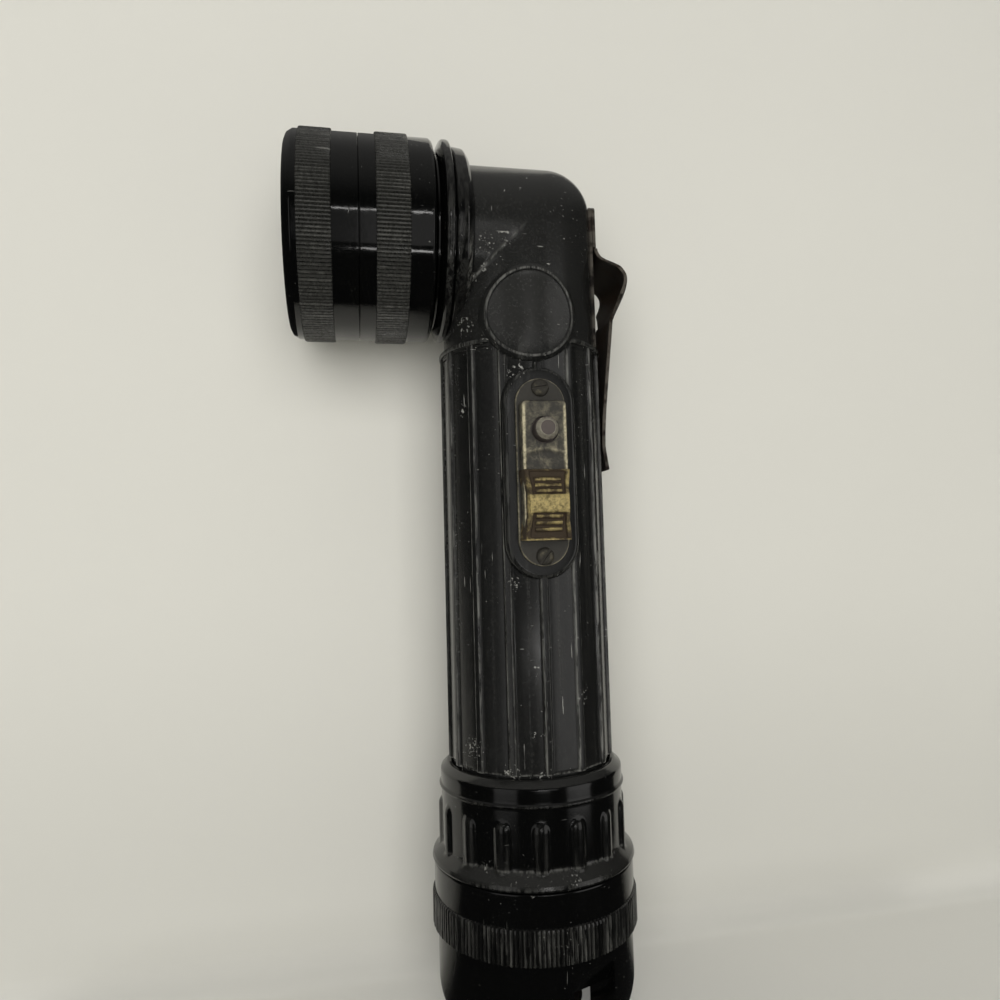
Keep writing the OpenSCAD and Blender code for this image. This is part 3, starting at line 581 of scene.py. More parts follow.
# CAD nodes that are shown as they are
NODE_LOOKS = [
    (contact_brass, "lamp_contact contact_strip contact_rail signal_contact slide_shoe"),
    (contact_brass, "bulb_base spring_plate spare_base"),
    (jacket_tan, "cell_lower cell_upper"),
    (plated_steel, "cell_caps"),
    (board_brown, "switch_board"),
    (mirror_metal, "reflector"),
    (holder_black, "bulb_holder"),
    (gasket_rubber, "lens_gasket cap_gasket store_gasket"),
    (window_glass, "clear_lens front_window"),
    (bulb_clear, "bulb_glass spare_glass"),
    (red_sheet, "filter_red"),
    (amber_sheet, "filter_amber"),
    (milky_sheet, "filter_diffuser"),
    (post_steel, "hang_post hang_ring"),
]
for node_look, node_names in NODE_LOOKS:
    for node_name in node_names.split():
        node_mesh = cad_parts[node_name].data
        node_mesh.materials.clear()
        node_mesh.materials.append(node_look)


# Body


def rib_shape(angles):
    """Height of the tube's ribs around the tube, and the pale lines along their edges: partly wear and partly
    a painted highlight, brightest towards -X.
    """
    step = 2 * math.pi / RIB_COUNT
    offset = ((angles + step / 2) % step - step / 2) * TUBE_R
    height = RIB_H * (1 - smooth_step(RIB_W / 2 - 0.28, RIB_W / 2 + 0.32, np.abs(offset)))
    edge = RIB_W / 2 - 0.12
    return height, bell(offset, -edge, 0.17) + 0.4 * bell(offset, edge, 0.14)


def outside_medallion(x, z):
    """0 where the medallion's disc covers the tube's front, 1 outside it."""
    return smooth_step(MEDAL_R - 0.1, MEDAL_R + 0.3, np.hypot(x - MEDAL_X, z - MEDAL_Z))


def tube_skin():
    """Ribbed tube: pale rib edges, partly wear and partly a painted highlight, most beside the switch, and a
    rubbed lower end.
    """
    segments = RIB_COUNT * 60
    angles = turn_angles(segments)
    height, edge = rib_shape(angles)
    panel = 0.16 * np.cos((angles * RIB_COUNT) / 2) ** 2 - 0.16
    levels = [(NECK_Z + 5, -3.0, 0), (TUBE_Z, -3.0, 0), (TUBE_Z, -0.9, 0), (TUBE_Z + 0.05, -0.35, 0.2),
              (TUBE_Z + 0.3, -0.08, 1), (TUBE_Z + 0.7, 0, 1), (TUBE_Z + 1.2, 0, 1)]
    levels += [(z, 0, 1) for z in np.linspace(TUBE_Z + 3, MEDAL_Z - MEDAL_R - 0.6, 40)]
    levels += [(z, 0, 1) for z in np.linspace(MEDAL_Z - MEDAL_R - 0.2, COLLAR_Z + 0.1, 18)]
    levels += [(COLLAR_Z + 0.1, -3.0, 0)]
    front = np.cos(angles) > 0
    by_switch = bell(angles, math.radians(336), 0.07)
    next_rib = bell(angles, math.radians(312), 0.07)
    points = []
    wear = []
    for z, drop, ribs in levels:
        bare = np.where(front, outside_medallion(TUBE_R * np.sin(angles), z), 1.0)
        radius = PANEL_R + drop + (height * bare + panel) * ribs
        points += [on_tube(radius[j], angles[j], z) for j in range(segments)]
        beside = 1 + 1.5 * by_switch * smooth_step(104, 112, z)
        beside += 1.3 * next_rib * smooth_step(66, 80, z) * smooth_step(146, 138, z)
        # The rib edges' pale lines are partly wear and partly a painted highlight for the sheen their flanks
        # catch
        wear += list((edge * beside * 0.95 + 0.75 * bell(z, TUBE_Z + 0.3, 0.25)) * ribs * bare)
    faces = grid_faces(len(levels), segments)
    return make_piece("tube_skin", points, faces, shell_black, "case", ["body_shell"],
                      wear=wear)


def elbow_skin():
    """The elbow: two equal round arms that meet at a mitre, swept around the line of the inner crease.

    Each section is an ellipse. Its far side follows the rounded outer corner, and its near side the crease.
    """
    r = ELBOW_R
    columns = 144
    crease_round = 2.5
    crease_wear = 15.96

    def reach(theta, rounding):
        """Distance from the crease to the outer corner, which is a square with one rounded corner."""
        inner = 2 * r - rounding
        c, s = math.cos(theta), math.sin(theta)
        if 2 * r * s <= inner * c:
            return 2 * r / c
        if 2 * r * c <= inner * s:
            return 2 * r / s
        return inner * (c + s) + math.sqrt(rounding ** 2 - inner ** 2 * (c - s) ** 2)

    points = []
    wear = []
    around = turn_angles(columns)
    straight = np.linspace(COLLAR_Z + 0.2, HEAD_Z - r, 8)[:-1]
    for z in straight:
        points += [(r * math.cos(t), r * math.sin(t), z) for t in around]
        wear += [0.0] * columns
    sweep = np.radians(np.linspace(0, 90, 101))
    for theta in sweep:
        for t in around:
            far = (1 + math.cos(t)) / 2
            out = reach(theta, crease_round + (CORNER_ROUND - crease_round) * far) * far
            points.append((-r + out * math.cos(theta), r * math.sin(t), HEAD_Z - r + out * math.sin(theta)))
            near_crease = bell((math.degrees(theta) - 45) * out, 0, crease_wear)
            wear.append(0.6 * near_crease * smooth_step(0.52, 0.4, far))
    faces = grid_faces(len(straight) + len(sweep), columns)
    return make_piece("elbow_skin", points, faces, shell_black, "case", angle=60, wear=wear)


def collar_bead():
    """Bead round the top of the tube, which stops at the medallion."""
    profile = fillet([(17.5, COLLAR_Z - 0.9, 0), (TUBE_R - 0.5, COLLAR_Z - 0.9, 0.1),
                      (TUBE_R - 0.55, COLLAR_Z - 0.25, 0.1), (TUBE_R + 0.25, COLLAR_Z - 0.15, 0.3),
                      (TUBE_R + 0.25, COLLAR_Z + 0.75, 0.4), (ELBOW_R + 0.1, COLLAR_Z + 1.5, 0.5),
                      (17.5, COLLAR_Z + 1.8, 0)])

    def swell(angles, i):
        r, z = profile[i]
        away = outside_medallion(TUBE_R * np.sin(angles), z)
        return np.where(np.cos(angles) > 0, max(0.0, r - 18.8) * (away - 1), 0.0)

    wear = [0.35 * (r > TUBE_R + 0.05) for r, _ in profile]
    return turned("collar_bead", on_tube, profile, 320, shell_black, "case", angle=50,
                  wear=wear, swell=swell)


def head_flange():
    """Stepped shoulder and round rim behind the lens ring, with the threaded head neck."""
    profile = fillet([(17.0, 13.0, 0), (ELBOW_R - 0.3, 13.0, 0), (ELBOW_R + 0.3, 13.4, 0.4),
                      (20.6, 13.9, 0.8), (22.0, 14.9, 1.0), (22.3, 17.6, 0.7), (21.2, 17.75, 0.15),
                      (21.2, 18.15, 0.15), (23.75, 18.2, 1.1), (23.75, 19.9, 0.9), (21.2, 21.05, 0.4),
                      (20.5, 21.15, 0.1), (20.5, 33.0, 0.2), (18.9, 33.0, 0.2), (18.9, 19.4, 0)])
    segments = 200
    angles = np.degrees(turn_angles(segments))
    rubbed = smooth_step(282, 300, angles) * smooth_step(350, 335, angles)
    wear = [0.12 * (r > 23.5) + 0.08 * (21.9 < r < 22.3) + 0.9 * bell(r, 21.2, 0.7) * (u < 15) * rubbed
            for r, u in profile]
    return turned("head_flange", on_head, profile, segments, tail_black, "case", angle=40,
                  wear=wear)


def medallion():
    """Bare round medallion, curved with the tube: a raised rim around a shallow field."""
    rings = [(0.001, 19.2), (4.0, 19.2), (8.0, 19.2), (9.3, 19.2), (9.55, 19.24), (9.75, 19.55), (9.95, 19.7),
             (10.25, 19.72), (10.55, 19.6), (10.75, 19.38), (11.1, 19.3), (11.25, 19.1), (11.35, 18.5),
             (MEDAL_R, 17.6)]

    def place(rho, angle, radius):
        x = MEDAL_X + rho * math.cos(angle)
        return (x, -math.sqrt(radius ** 2 - x ** 2), MEDAL_Z + rho * math.sin(angle))

    return turned("medallion", place, rings, 128, shell_black, "case", angle=60,
                  wear=[0.55 * (9.8 < rho < 10.4) for rho, _ in rings],
                  tone=[0.07 * (rho < 9.4) for rho, _ in rings], closed=False)


def switch_pad():
    """Raised flat pad that carries the switch plate. Its tone is below 0, which takes the dust off it and
    makes it darker than the case around it: painted shade on its lit front face.
    """
    levels = [(-0.5, 15.0, 0), (-0.5, 18.4, 0), (-0.2, 19.2, 0.05), (0.15, 19.7, 0.18), (0.6, 19.88, 0.1),
              (0.8, PAD_D, 0), (2.4, PAD_D, 0)]
    # The tone below 0 is painted shade that keeps the pad's front face dark
    return stacked_slots("switch_pad", 16, 47, levels, shell_black, tone=-0.15)


def thread(name, place, r, h0, h1, pitch, body, look, rise=0.28):
    """Screw thread as a round helical ridge on a neck."""
    per_turn = 72
    count = int((h1 - h0) / pitch * per_turn)
    section = [(-0.9, -0.6), (-0.45, 0.0), (-0.18, rise), (0.18, rise), (0.45, 0.0), (0.9, -0.6)]
    points = []
    for i in range(count + 1):
        fade = min(1.0, i / 12, (count - i) / 12)
        for dh, dr in section:
            points.append(place(r - 0.02 + (dr if dr <= 0 else dr * fade), 2 * math.pi * i / per_turn,
                                h0 + (h1 - h0) * i / count + dh * pitch / 3.2))
    faces = grid_faces(count + 1, len(section)) + end_caps(count + 1, len(section))
    return make_piece(name, points, faces, look, body, angle=60)


def tube_neck():
    bore_r = 17.35
    profile = fillet([(bore_r, NECK_Z, 0.1), (NECK_R, NECK_Z, 0.4), (NECK_R, TUBE_Z + 1, 0),
                      (bore_r, TUBE_Z + 1, 0)])
    return turned("tube_neck", on_tube, profile, 128, shell_black, "case")


# Switch


def switch_track():
    """Raised track: flat round the button, then a round step down to the lower run of the slide."""
    half_w, half_l, corner = 5.05, 15.3, 1.0
    edge_round = 0.45
    step_drop = 0.45
    rows, columns = 124, 44
    points = []
    wear = []
    for z in np.linspace(-half_l, half_l, rows):
        past = max(0.0, abs(z) - half_l + corner)
        side = half_w - corner + math.sqrt(max(corner ** 2 - past ** 2, 0.0))
        for t in np.linspace(-1, 1, columns):
            x = side * math.sin(t * math.pi / 2)
            inset = side - abs(x)
            edge = min(inset, half_l - abs(z))
            roll = edge_round * (1 - math.sqrt(1 - max(0.0, 1 - edge / edge_round) ** 2))
            step = 5.0 - 0.05 * x ** 2
            sink = step_drop * smooth_step(step, step - 1.5, z) * smooth_step(0.55, 0.95, inset)
            points.append((x, -(TRACK_D - roll - sink), SWITCH_Z + z))
            # The lines along the side edges are rubbed brass. The line along the step is a painted highlight,
            # and the even 0.22 over the face is partly a painted sheen that lightens it
            along = (0.55 + 0.45 * smooth_step(15, 9, z)) * smooth_step(15, 13.6, abs(z))
            painted_step_highlight = 0.16 * bell(z, step - 0.3, 0.35) * smooth_step(0.5, 1.0, inset)
            wear.append(0.9 * bell(inset, 0.42, 0.3) * along + painted_step_highlight + 0.22)
    faces = grid_faces(rows, columns, wrap_columns=False)
    rim = list(range(columns))
    rim += [i * columns + columns - 1 for i in range(1, rows)]
    rim += [(rows - 1) * columns + j for j in range(columns - 2, -1, -1)]
    rim += [i * columns for i in range(rows - 2, 0, -1)]
    low = len(points)
    count = len(rim)
    points += [(points[k][0] * 1.015, -PLATE_D + 0.4, points[k][2]) for k in rim]
    wear += [0.1] * count
    faces += [(rim[k], rim[(k + 1) % count], low + (k + 1) % count, low + k) for k in range(count)]
    faces.append(tuple(range(low, low + count)))
    return make_piece("switch_track", points, faces, plate_brass, "case", angle=40, wear=wear)


def switch_plate():
    """Plate with rolled edges and the raised track, which is open for the button and the slide's stem."""
    levels = [(0, PAD_D, 0.1), (0, 20.35, 0.35), (0.12, 20.6, 0.45), (0.4, PLATE_D, 0)]
    stacked_slots("switch_plate_base", 11.4, 41.8, levels, plate_brass, ["switch_plate"], 40)
    track = switch_track()
    cut_away(track, *lathe(on_front(BUTTON_Z), [(3.0, 20), (3.0, 26)], 48, closed=False), 40)
    cut_away(track, *block((-1.6, -26, 114.85), (1.6, -20, 124.35)), 40)


def switch_slide():
    """Brass saddle: a high bar in the middle, two sunk panels with three ridges each, skirts at both ends."""
    rows, columns = 150, 84
    half_l, bar_z, ridge_w, wall_t, skirt_drop = 7.65, 0.15, 0.43, 0.45, 3.2
    s = np.linspace(-half_l, half_l, rows)
    ridges = (5.45, 4.15, 2.95, -2.55, -3.95, -5.35)
    points = []
    wear = []
    tone = []

    def add(point, bright, dull):
        points.append(point)
        wear.append(bright)
        tone.append(dull)
        return len(points) - 1

    for z in s:
        middle = abs(z - bar_z)
        end = middle / 7.6
        half = 4.7 + 0.45 * smooth_step(0.28, 0.98, end)
        arch = 25.0 + 1.6 * (1 - smooth_step(0.12, 1.0, end) ** 0.8)
        panel_z = smooth_step(1.75, 2.3, middle) * (1 - 0.6 * smooth_step(6.9, 7.4, abs(z - 0.05)))
        bar = 1 - smooth_step(1.6, 2.1, middle)
        for t in np.linspace(-1, 1, columns):
            x = half * t
            inset = half - abs(x)
            panel = panel_z * smooth_step(0.95, 1.3, inset)
            flank = smooth_step(0.4, -0.1, inset)
            ridge = max(math.exp(-((z - r) / ridge_w) ** 4) for r in ridges)
            ridge *= 1 - smooth_step(2.85, 3.1, abs(x))
            d = arch - 0.6 * panel + 0.45 * ridge * panel_z - flank * (arch - 24.55)
            rail = smooth_step(1.2, 0.95, inset) * smooth_step(0.15, 0.4, inset)
            bright = 0.7 * bar * (1 - flank) + 0.08 * ridge * panel_z + 0.3 * smooth_step(0.97, 1.0, end)
            dull = 0.8 * panel * (1 - 0.8 * ridge) + 0.5 * flank + 0.18 * rail * (1 - bar) * (0.4 + end)
            add((x, -d + 0.25 * smooth_step(0.95, 1.0, end), SLIDE_Z + z), min(1.0, bright), dull)
    faces = grid_faces(rows, columns, wrap_columns=False)
    # Side walls go down to the skirts at both ends and stop at the slide's underside in the middle
    walls = []
    for edge in (0, columns - 1):
        for i, z in enumerate(s):
            x, _, height = points[i * columns + edge]
            skirt = smooth_step(2.9, 3.2, abs(z))
            foot_d = SLIDE_D - 0.1 - skirt * skirt_drop
            walls.append(add((x * (1 + 0.06 * skirt), -foot_d, height), 0.2, 0.5))
    left, right = walls[:rows], walls[rows:]
    # Each row's path under the saddle: down the left wall, over the roof and down to the right wall
    under = []
    for i in range(rows):
        path = [left[i]]
        for wall, order in ((left[i], 1), (right[i], -1)):
            x, y, height = points[wall]
            x -= math.copysign(wall_t, x)
            foot = add((x, y, height), 0.2, 0.4)
            path += [foot, add((x, -SLIDE_D, height), 0.0, 0.6)][::order]
        under.append(path + [right[i]])
    for i in range(rows - 1):
        first, last = i * columns, (i + 1) * columns - 1
        faces.append((first, first + columns, left[i + 1], left[i]))
        faces.append((last, right[i], right[i + 1], last + columns))
        a, b = under[i], under[i + 1]
        faces += [(a[k], b[k], b[k + 1], a[k + 1]) for k in range(len(a) - 1)]
    for i in (0, rows - 1):
        faces.append(tuple(range(i * columns, (i + 1) * columns)) + tuple(under[i][::-1]))
    return make_piece("switch_saddle", points, faces, slide_brass, "thumb_slide",
                      ["switch_slide"], angle=50, wear=wear, tone=tone)


def switch_stem():
    points, faces = block((-1.2, -24.6, SLIDE_Z - 1.5), (1.2, -20.6, SLIDE_Z + 1.5))
    piece = make_piece("switch_stem", points, faces, contact_brass, "thumb_slide")
    round_edges(piece, 0.2)
    return piece


def switch_button():
    """Push button with a rubbed bevel and a collar below the track."""
    profile = fillet([(0.001, 22.25, 0), (1.3, 22.25, 0.02), (1.35, 22.3, 0.02), (3.65, 22.3, 0.1),
                      (3.65, 22.9, 0.1), (2.55, 22.9, 0.05), (2.55, 26.1, 0.25), (1.7, 26.95, 0.15),
                      (1.5, 27.0, 0.1), (0.001, 26.93, 0)])
    bevel = [1.55 < r < 2.5 and d > 26 for r, d in profile]
    wear = [(0.8 if r < 1.95 else 0.4) * on for (r, _), on in zip(profile, bevel)]
    return turned("signal_cap", on_front(BUTTON_Z), profile, 64, button_brass, "signal_button",
                  ["switch_button"], 45, wear, [0.35 * (not on) for on in bevel],
                  closed=False)


def screw(name, z, turn, hides=()):
    """Round-head screw with a slot."""
    profile = [(0.001, 20.4), (0.95, 20.4), (0.95, PLATE_D), (1.95, PLATE_D), (2.0, 20.85), (1.93, 21.1),
               (1.7, 21.33), (1.3, 21.48), (0.8, 21.55), (0.001, 21.58)]
    piece = turned(name, on_front(z), profile, 48, screw_brass, "case", hides, 40,
                   [0.25 if r < 1.6 else 0.1 for r, _ in profile], closed=False)
    slot_points, slot_faces = block((-3, -23, -0.3), (3, -21.1, 0.3))
    aslant = Matrix.Rotation(-math.radians(turn), 3, "Y")
    cut_away(piece, [aslant @ Vector(p) + Vector((0, 0, z)) for p in slot_points], slot_faces, 40)
    return piece


# Clip


def smooth_curve(points, steps):
    """A Catmull-Rom curve through the points."""
    p = [np.array(points[0])] + [np.array(q) for q in points] + [np.array(points[-1])]
    curve = []
    for i in range(1, len(p) - 2):
        for k in range(steps):
            t = k / steps
            curve.append(0.5 * (2 * p[i] + (p[i + 1] - p[i - 1]) * t
                                + (2 * p[i - 1] - 5 * p[i] + 4 * p[i + 1] - p[i + 2]) * t ** 2
                                + (3 * p[i] - p[i - 1] - 3 * p[i + 1] + p[i + 2]) * t ** 3))
    curve.append(p[-2])
    return np.array(curve)


def leaf_line():
    """Middle line of the clip's sprung leaf, smoothed through its few bends."""
    m = CLIP_MID_R + CLIP_T / 2
    a = LEAF_APEX_R - CLIP_T / 2
    g = TUBE_R + 0.9
    b = CLIP_BEND_Z
    t = CLIP_TIP_Z
    bends = [(m + 0.3, b), (m + 0.75, b - 1.4), (m + 2.2, b - 3), (a - 1.7, b - 5.2), (a - 0.4, b - 6.7),
             (a, b - 8.2), (a - 0.3, b - 10), (a - 1.2, b - 12.2), (a - 2.6, b - 15), (a - 3.5, b - 17),
             (a - 4, b - 19.5), (g + 0.5, t + 15), (g, t + 7), (g + 0.05, t + 5), (g + 0.45, t + 2.4),
             (g + 1, t)]
    return smooth_curve(bends, 6)


def strip_surface(line, half_of, across):
    """Points of a bent strip: line holds (r, z) pairs and half_of(z) gives its half width."""
    points = []
    for r, z in line:
        half = half_of(z)
        points += [on_tube(r, math.pi / 2 - math.asin(np.clip(y / r, -0.95, 0.95)), z)
                   for y in np.linspace(-half, half, across)]
    return points


def thick_strip(name, outer, inner, half_of, body, hides, rusty):
    """A bent steel strip between two lines, bright on its edges and rusty on its inner face."""
    across = 17
    rows = len(outer)
    points = strip_surface(outer, half_of, across) + strip_surface(inner, half_of, across)
    base = rows * across
    faces = grid_faces(rows, across, wrap_columns=False)
    faces += [tuple(base + k for k in f[::-1]) for f in faces]
    sides = [(i * across + j, (i + 1) * across + j) for i in range(rows - 1) for j in (0, across - 1)]
    ends = [(i * across + j, i * across + j + 1) for i in (0, rows - 1) for j in range(across - 1)]
    faces += [(a, b, base + b, base + a) for a, b in sides + ends]
    wear = np.zeros((2, rows, across))
    wear[0, :, [0, -1]] = 0.6
    wear[1, :, [0, -1]] = 0.3
    tone = np.repeat([0.0, rusty], base)
    piece = make_piece(name, points, faces, clip_steel, body, hides, 50, wear.ravel(), tone)
    round_edges(piece, 0.14, 2)
    return piece


def clip_leaf():
    line = leaf_line()
    run = np.gradient(line, axis=0)
    side = np.stack([-run[:, 1], run[:, 0]], axis=1)
    side *= CLIP_T / 2 / np.linalg.norm(side, axis=1)[:, None]
    b, t = CLIP_BEND_Z, CLIP_TIP_Z
    knots = sorted([(b + 1, 7.0), (b - 2, 7.0), (b - 5, 9.5), (b - 12, 9.5), (b - 14, 7.5), (b - 16.5, 5.3),
                    (b - 19, 5.9), (b - 21.5, 7.3), (t + 3, 4.9), (t, 3.4)])
    heights, halves = zip(*knots)
    return thick_strip("clip_spring_leaf", line + side, line - side, lambda z: np.interp(z, heights, halves),
                       "clip_spring", ["clip_leaf"], 0.75)


def clip_fixed():
    """The clip's base strip, the root of the leaf on it, and their two rivets."""
    for name, r, z0, hides in (("clip_base_strip", 18.6, 156.6, ["clip_base"]),
                               ("clip_root_strip", 19.42, CLIP_BEND_Z + 0.35, ["clip_root"])):
        zs = np.linspace(z0, CLIP_TOP_Z, 28)
        thick_strip(name, [(r + CLIP_T, z) for z in zs], [(r, z) for z in zs],
                    lambda z: 7.0 - 2.4 * smooth_step(CLIP_TOP_Z - 3, CLIP_TOP_Z, z) ** 3, "case", hides, 0.2)
    dome = [(0.001, 19.5), (1.4, 19.5), (1.4, 20.2), (1.85, 20.22), (1.8, 20.5), (1.45, 20.85), (0.8, 21.05),
            (0.001, 21.1)]
    for name, z, hides in (("clip_rivet_high", HEAD_Z + 4.4, ["clip_rivets"]),
                           ("clip_rivet_low", HEAD_Z + 0.6, ())):
        turned(name, on_side(z), dome, 40, clip_steel, "case", hides,
               wear=[0, 0, 0, 0.3, 0.5, 0.6, 0.4, 0.4], closed=False)


# Head rings


def tooth_wave(angles, teeth):
    """A straight knurl tooth: flat-topped, with narrow valleys."""
    phase = (angles * teeth / (2 * math.pi)) % 1.0
    return smooth_step(0.0, 0.34, phase) * (1 - smooth_step(0.66, 1.0, phase))


def knurled_ring(name, place, corners, band, teeth, hides, body, look, dust, rubbed):
    """A turned ring whose outer face carries a knurled band between two heights."""
    low, high, radius = band
    profile = hold_flats(fillet(corners))
    weights = [0.0] * len(profile)
    at = 1 + max(i for i, (r, h) in enumerate(profile) if r > radius - 0.05 and h <= low)
    rise = [(low, 0.0), (low + 0.12, 0.75), (low + 0.4, 1.0)]
    rise += [(h, 1.0) for h in np.linspace(low + 1.2, high - 1.2, 6)]
    rise += [(high - 0.4, 1.0), (high - 0.12, 0.75), (high, 0.0)]
    profile[at:at] = [(radius, h) for h, _ in rise]
    weights[at:at] = [weight for _, weight in rise]
    per_tooth = 6
    segments = teeth * per_tooth
    rng = np.random.default_rng(7)
    uneven = np.repeat(rng.uniform(0.78, 1.0, teeth), per_tooth)
    crest = tooth_wave(turn_angles(segments), teeth) * np.repeat(rng.uniform(0.0, 1.0, teeth), per_tooth)

    def swell(angles, i):
        return weights[i] * KNURL_H * (0.1 + 0.9 * tooth_wave(angles, teeth) * uneven)

    return turned(name, place, profile, segments, look, body, hides, 38,
                  [rubbed * crest * w for w in weights], [dust * w for w in weights], swell=swell)


def head_rings():
    """The lens ring with its threaded neck, and the filter ring that screws on it."""
    lens = [(20.85, 21.65, 0.1), (21.2, 21.65, 0.2), (23.35, 22.4, 0.3), (RING_R, 23.0, 0.5),
            (RING_R, 38.98, 0.2), (23.05, 38.98, 0.05), (23.05, 39.5, 0.1), (20.8, 39.5, 0.05),
            (20.8, 48.7, 0.3), (18.3, 48.7, 0.3), (18.3, 37.3, 0.2), (20.85, 37.3, 0.1)]
    front = [(21.15, 39.7, 0.05), (23.25, 39.7, 0.05), (23.25, 39.1, 0.05), (RING_R, 39.1, 0.2),
             (RING_R, 53.4, 0.6), (RING_R - 0.8, 54.7, 0.9), (RING_R - 1.9, 55.2, 0.5), (20.0, 55.2, 0.3),
             (19.4, 54.6, 0.3), (19.4, 50.8, 0.1), (21.15, 50.8, 0.1)]
    for name, corners, low, high in (("lens", lens, 27.85, 35.35), ("filter", front, 44.8, 52.2)):
        knurled_ring(name + "_ring_knurled", on_head, corners, (low, high, RING_R), HEAD_TEETH,
                     [name + "_ring"], name + "_cap", ring_black, 0.62, 0.55)


# Tail


def battery_cap():
    """Screw cap of the tube: a round collar, a grip with finger ribs and a flared foot."""
    outer = fillet([(20.3, 24.3, 0.3), (20.3, 35.65, 0.05), (23.7, 35.65, 0.25), (24.0, 36.15, 0.3),
                    (23.7, 37.0, 0.3), (21.5, 39.2, 1.2), (21.5, 52.0, 0.1), (22.0, 52.35, 0.2),
                    (22.0, 52.75, 0.2), (21.62, 53.1, 0.15), (21.62, 56.2, 1.0), (20.0, 57.6, 0.7),
                    (18.95, 57.6, 0.3)])
    dense = []
    for (r0, h0), (r1, h1) in zip(outer, outer[1:]):
        steps = max(1, int(abs(h1 - h0) / 0.45)) if h0 > 36 else 1
        dense += [(r0 + (r1 - r0) * k / steps, h0 + (h1 - h0) * k / steps) for k in range(steps)]
    dense.append(outer[-1])
    profile = dense + [(18.95, 40.0), (0.02, 40.0), (0.02, 38.0), (18.3, 38.0), (18.3, 24.3)]
    ribs = 16
    segments = ribs * 40
    turn = math.radians(-8)
    rib_r, rib_reach, rib_top = 2.5, 22.3, 47.4
    soft = 0.06

    def swell(angles, i):
        r, h = profile[i]
        if i >= len(dense) or h < 36.3 or h > 51.5:
            return np.zeros(segments)
        step = 2 * math.pi / ribs
        offset = (angles - turn + step / 2) % step - step / 2
        over = max(0.0, h - rib_top)
        centre = rib_reach - rib_r
        inside = max(rib_r ** 2 - over ** 2, 0.0) - (centre * np.sin(offset)) ** 2
        face = np.where(inside > 0, centre * np.cos(offset) + np.sqrt(np.maximum(inside, 0.0)), 0.0)
        rise = np.clip(np.maximum(face - r, -4 * soft) / soft, -40, 40)
        return soft * np.log1p(np.exp(rise)) * (inside > 0) * smooth_step(36.3, 36.9, h)

    wear = []
    tone = []
    for i, (r, h) in enumerate(profile):
        grow = swell(turn_angles(segments), i)
        outside = i < len(dense)
        # The pale line along each rib's flank is partly wear and partly a painted highlight
        line = 0.08 * bell(grow, 0.55, 0.2) * (grow > 0.05)
        rims = 0.13 * (bell(h, 36.3, 0.35) + bell(h, 52.5, 0.3)) + 0.28 * bell(h, 39.25, 0.28)
        wear.append(np.clip(line + outside * rims, 0, 1))
        # The faces that look up, on the flare and the collar's top, are painted paler in the tone field: a
        # painted highlight for the overhead light they catch
        painted_sheen_up = (36.9 < h < 39.4 and r > 21.45) or h > 56.3
        tone.append(0.16 * (outside and painted_sheen_up))
    return turned("battery_cap_ribbed", on_tube, profile, segments, tail_black, "tail_cap",
                  ["battery_cap"], 40, wear, tone, swell=swell)


def store_cap():
    """Bottom cap with the spares: plain band, knurled grip, round foot, recess and finger notch."""
    corners = [(14.4, 0.0, 0.3)]
    corners += [(16.4 + 6.5 * math.sin(a), 9.5 * (1 - math.cos(a)), 0)
                for a in np.radians(np.linspace(0, 90, 14))]
    corners += [(22.9, 20.5, 0.15), (23.55, 20.6, 0.1), (23.55, 35.35, 0.35), (20.65, 35.35, 0.2),
                (20.65, 22.5, 0), (19.6, 22.5, 0), (19.6, 15.2, 0.4), (0.02, 15.2, 0), (0.02, 13.0, 0),
                (14.4, 13.0, 0.5)]
    piece = knurled_ring("store_cap_knurled", on_tube, corners, (20.75, 28.4, 23.55), TAIL_TEETH,
                         ["store_cap"], "store_base", tail_black, 0.02, 0.4)
    outline = [(-10.4, -1), (-10.4, 12.7), (-19.5, 12.7), (-23.3, 20.4), (-31, 20.4), (-31, -1)]
    aslant = Matrix.Rotation(math.radians(NOTCH_TURN), 3, "Z")
    points = [aslant @ Vector((x, y, z)) for x in (-5.5, 5.5) for y, z in outline]
    cut_away(piece, points, grid_faces(2, len(outline)) + end_caps(2, len(outline)), 38)
    return piece


def wire_piece(name, path, wire_r, body, hides):
    """A round wire along a path, with closed ends."""
    sides = 12
    path = np.array(path)
    run = np.gradient(path, axis=0)
    run /= np.linalg.norm(run, axis=1)[:, None]
    points = []
    for p, d in zip(path, run):
        out = np.cross(d, (0.0, 0.3, 1.0))
        out /= np.linalg.norm(out)
        rise = np.cross(d, out)
        points += [p + wire_r * (math.cos(a) * out + math.sin(a) * rise) for a in turn_angles(sides)]
    faces = grid_faces(len(path), sides) + end_caps(len(path), sides)
    return make_piece(name, points, faces, plated_steel, body, hides, angle=60)


def tail_spring():
    turns = 4
    path = [on_tube(10.5 - 6.0 * t, math.pi / 2 + 2 * math.pi * turns * t, 41.2 + 4.2 * t)
            for t in np.linspace(0, 1, turns * 60 + 1)]
    return wire_piece("tail_spring_coil", path, 0.6, "tail_cap", ["tail_spring"])


def button_spring():
    turns = 2
    rest, length = 19.4, 2.8
    place = on_front(BUTTON_Z)
    path = [place(2.825, 2 * math.pi * turns * t, rest + 0.2 + 2.4 * t)
            for t in np.linspace(0, 1, turns * 48 + 1)]
    piece = wire_piece("button_spring_coil", path, 0.2, "case", ["button_spring"])
    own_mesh(piece)
    return piece


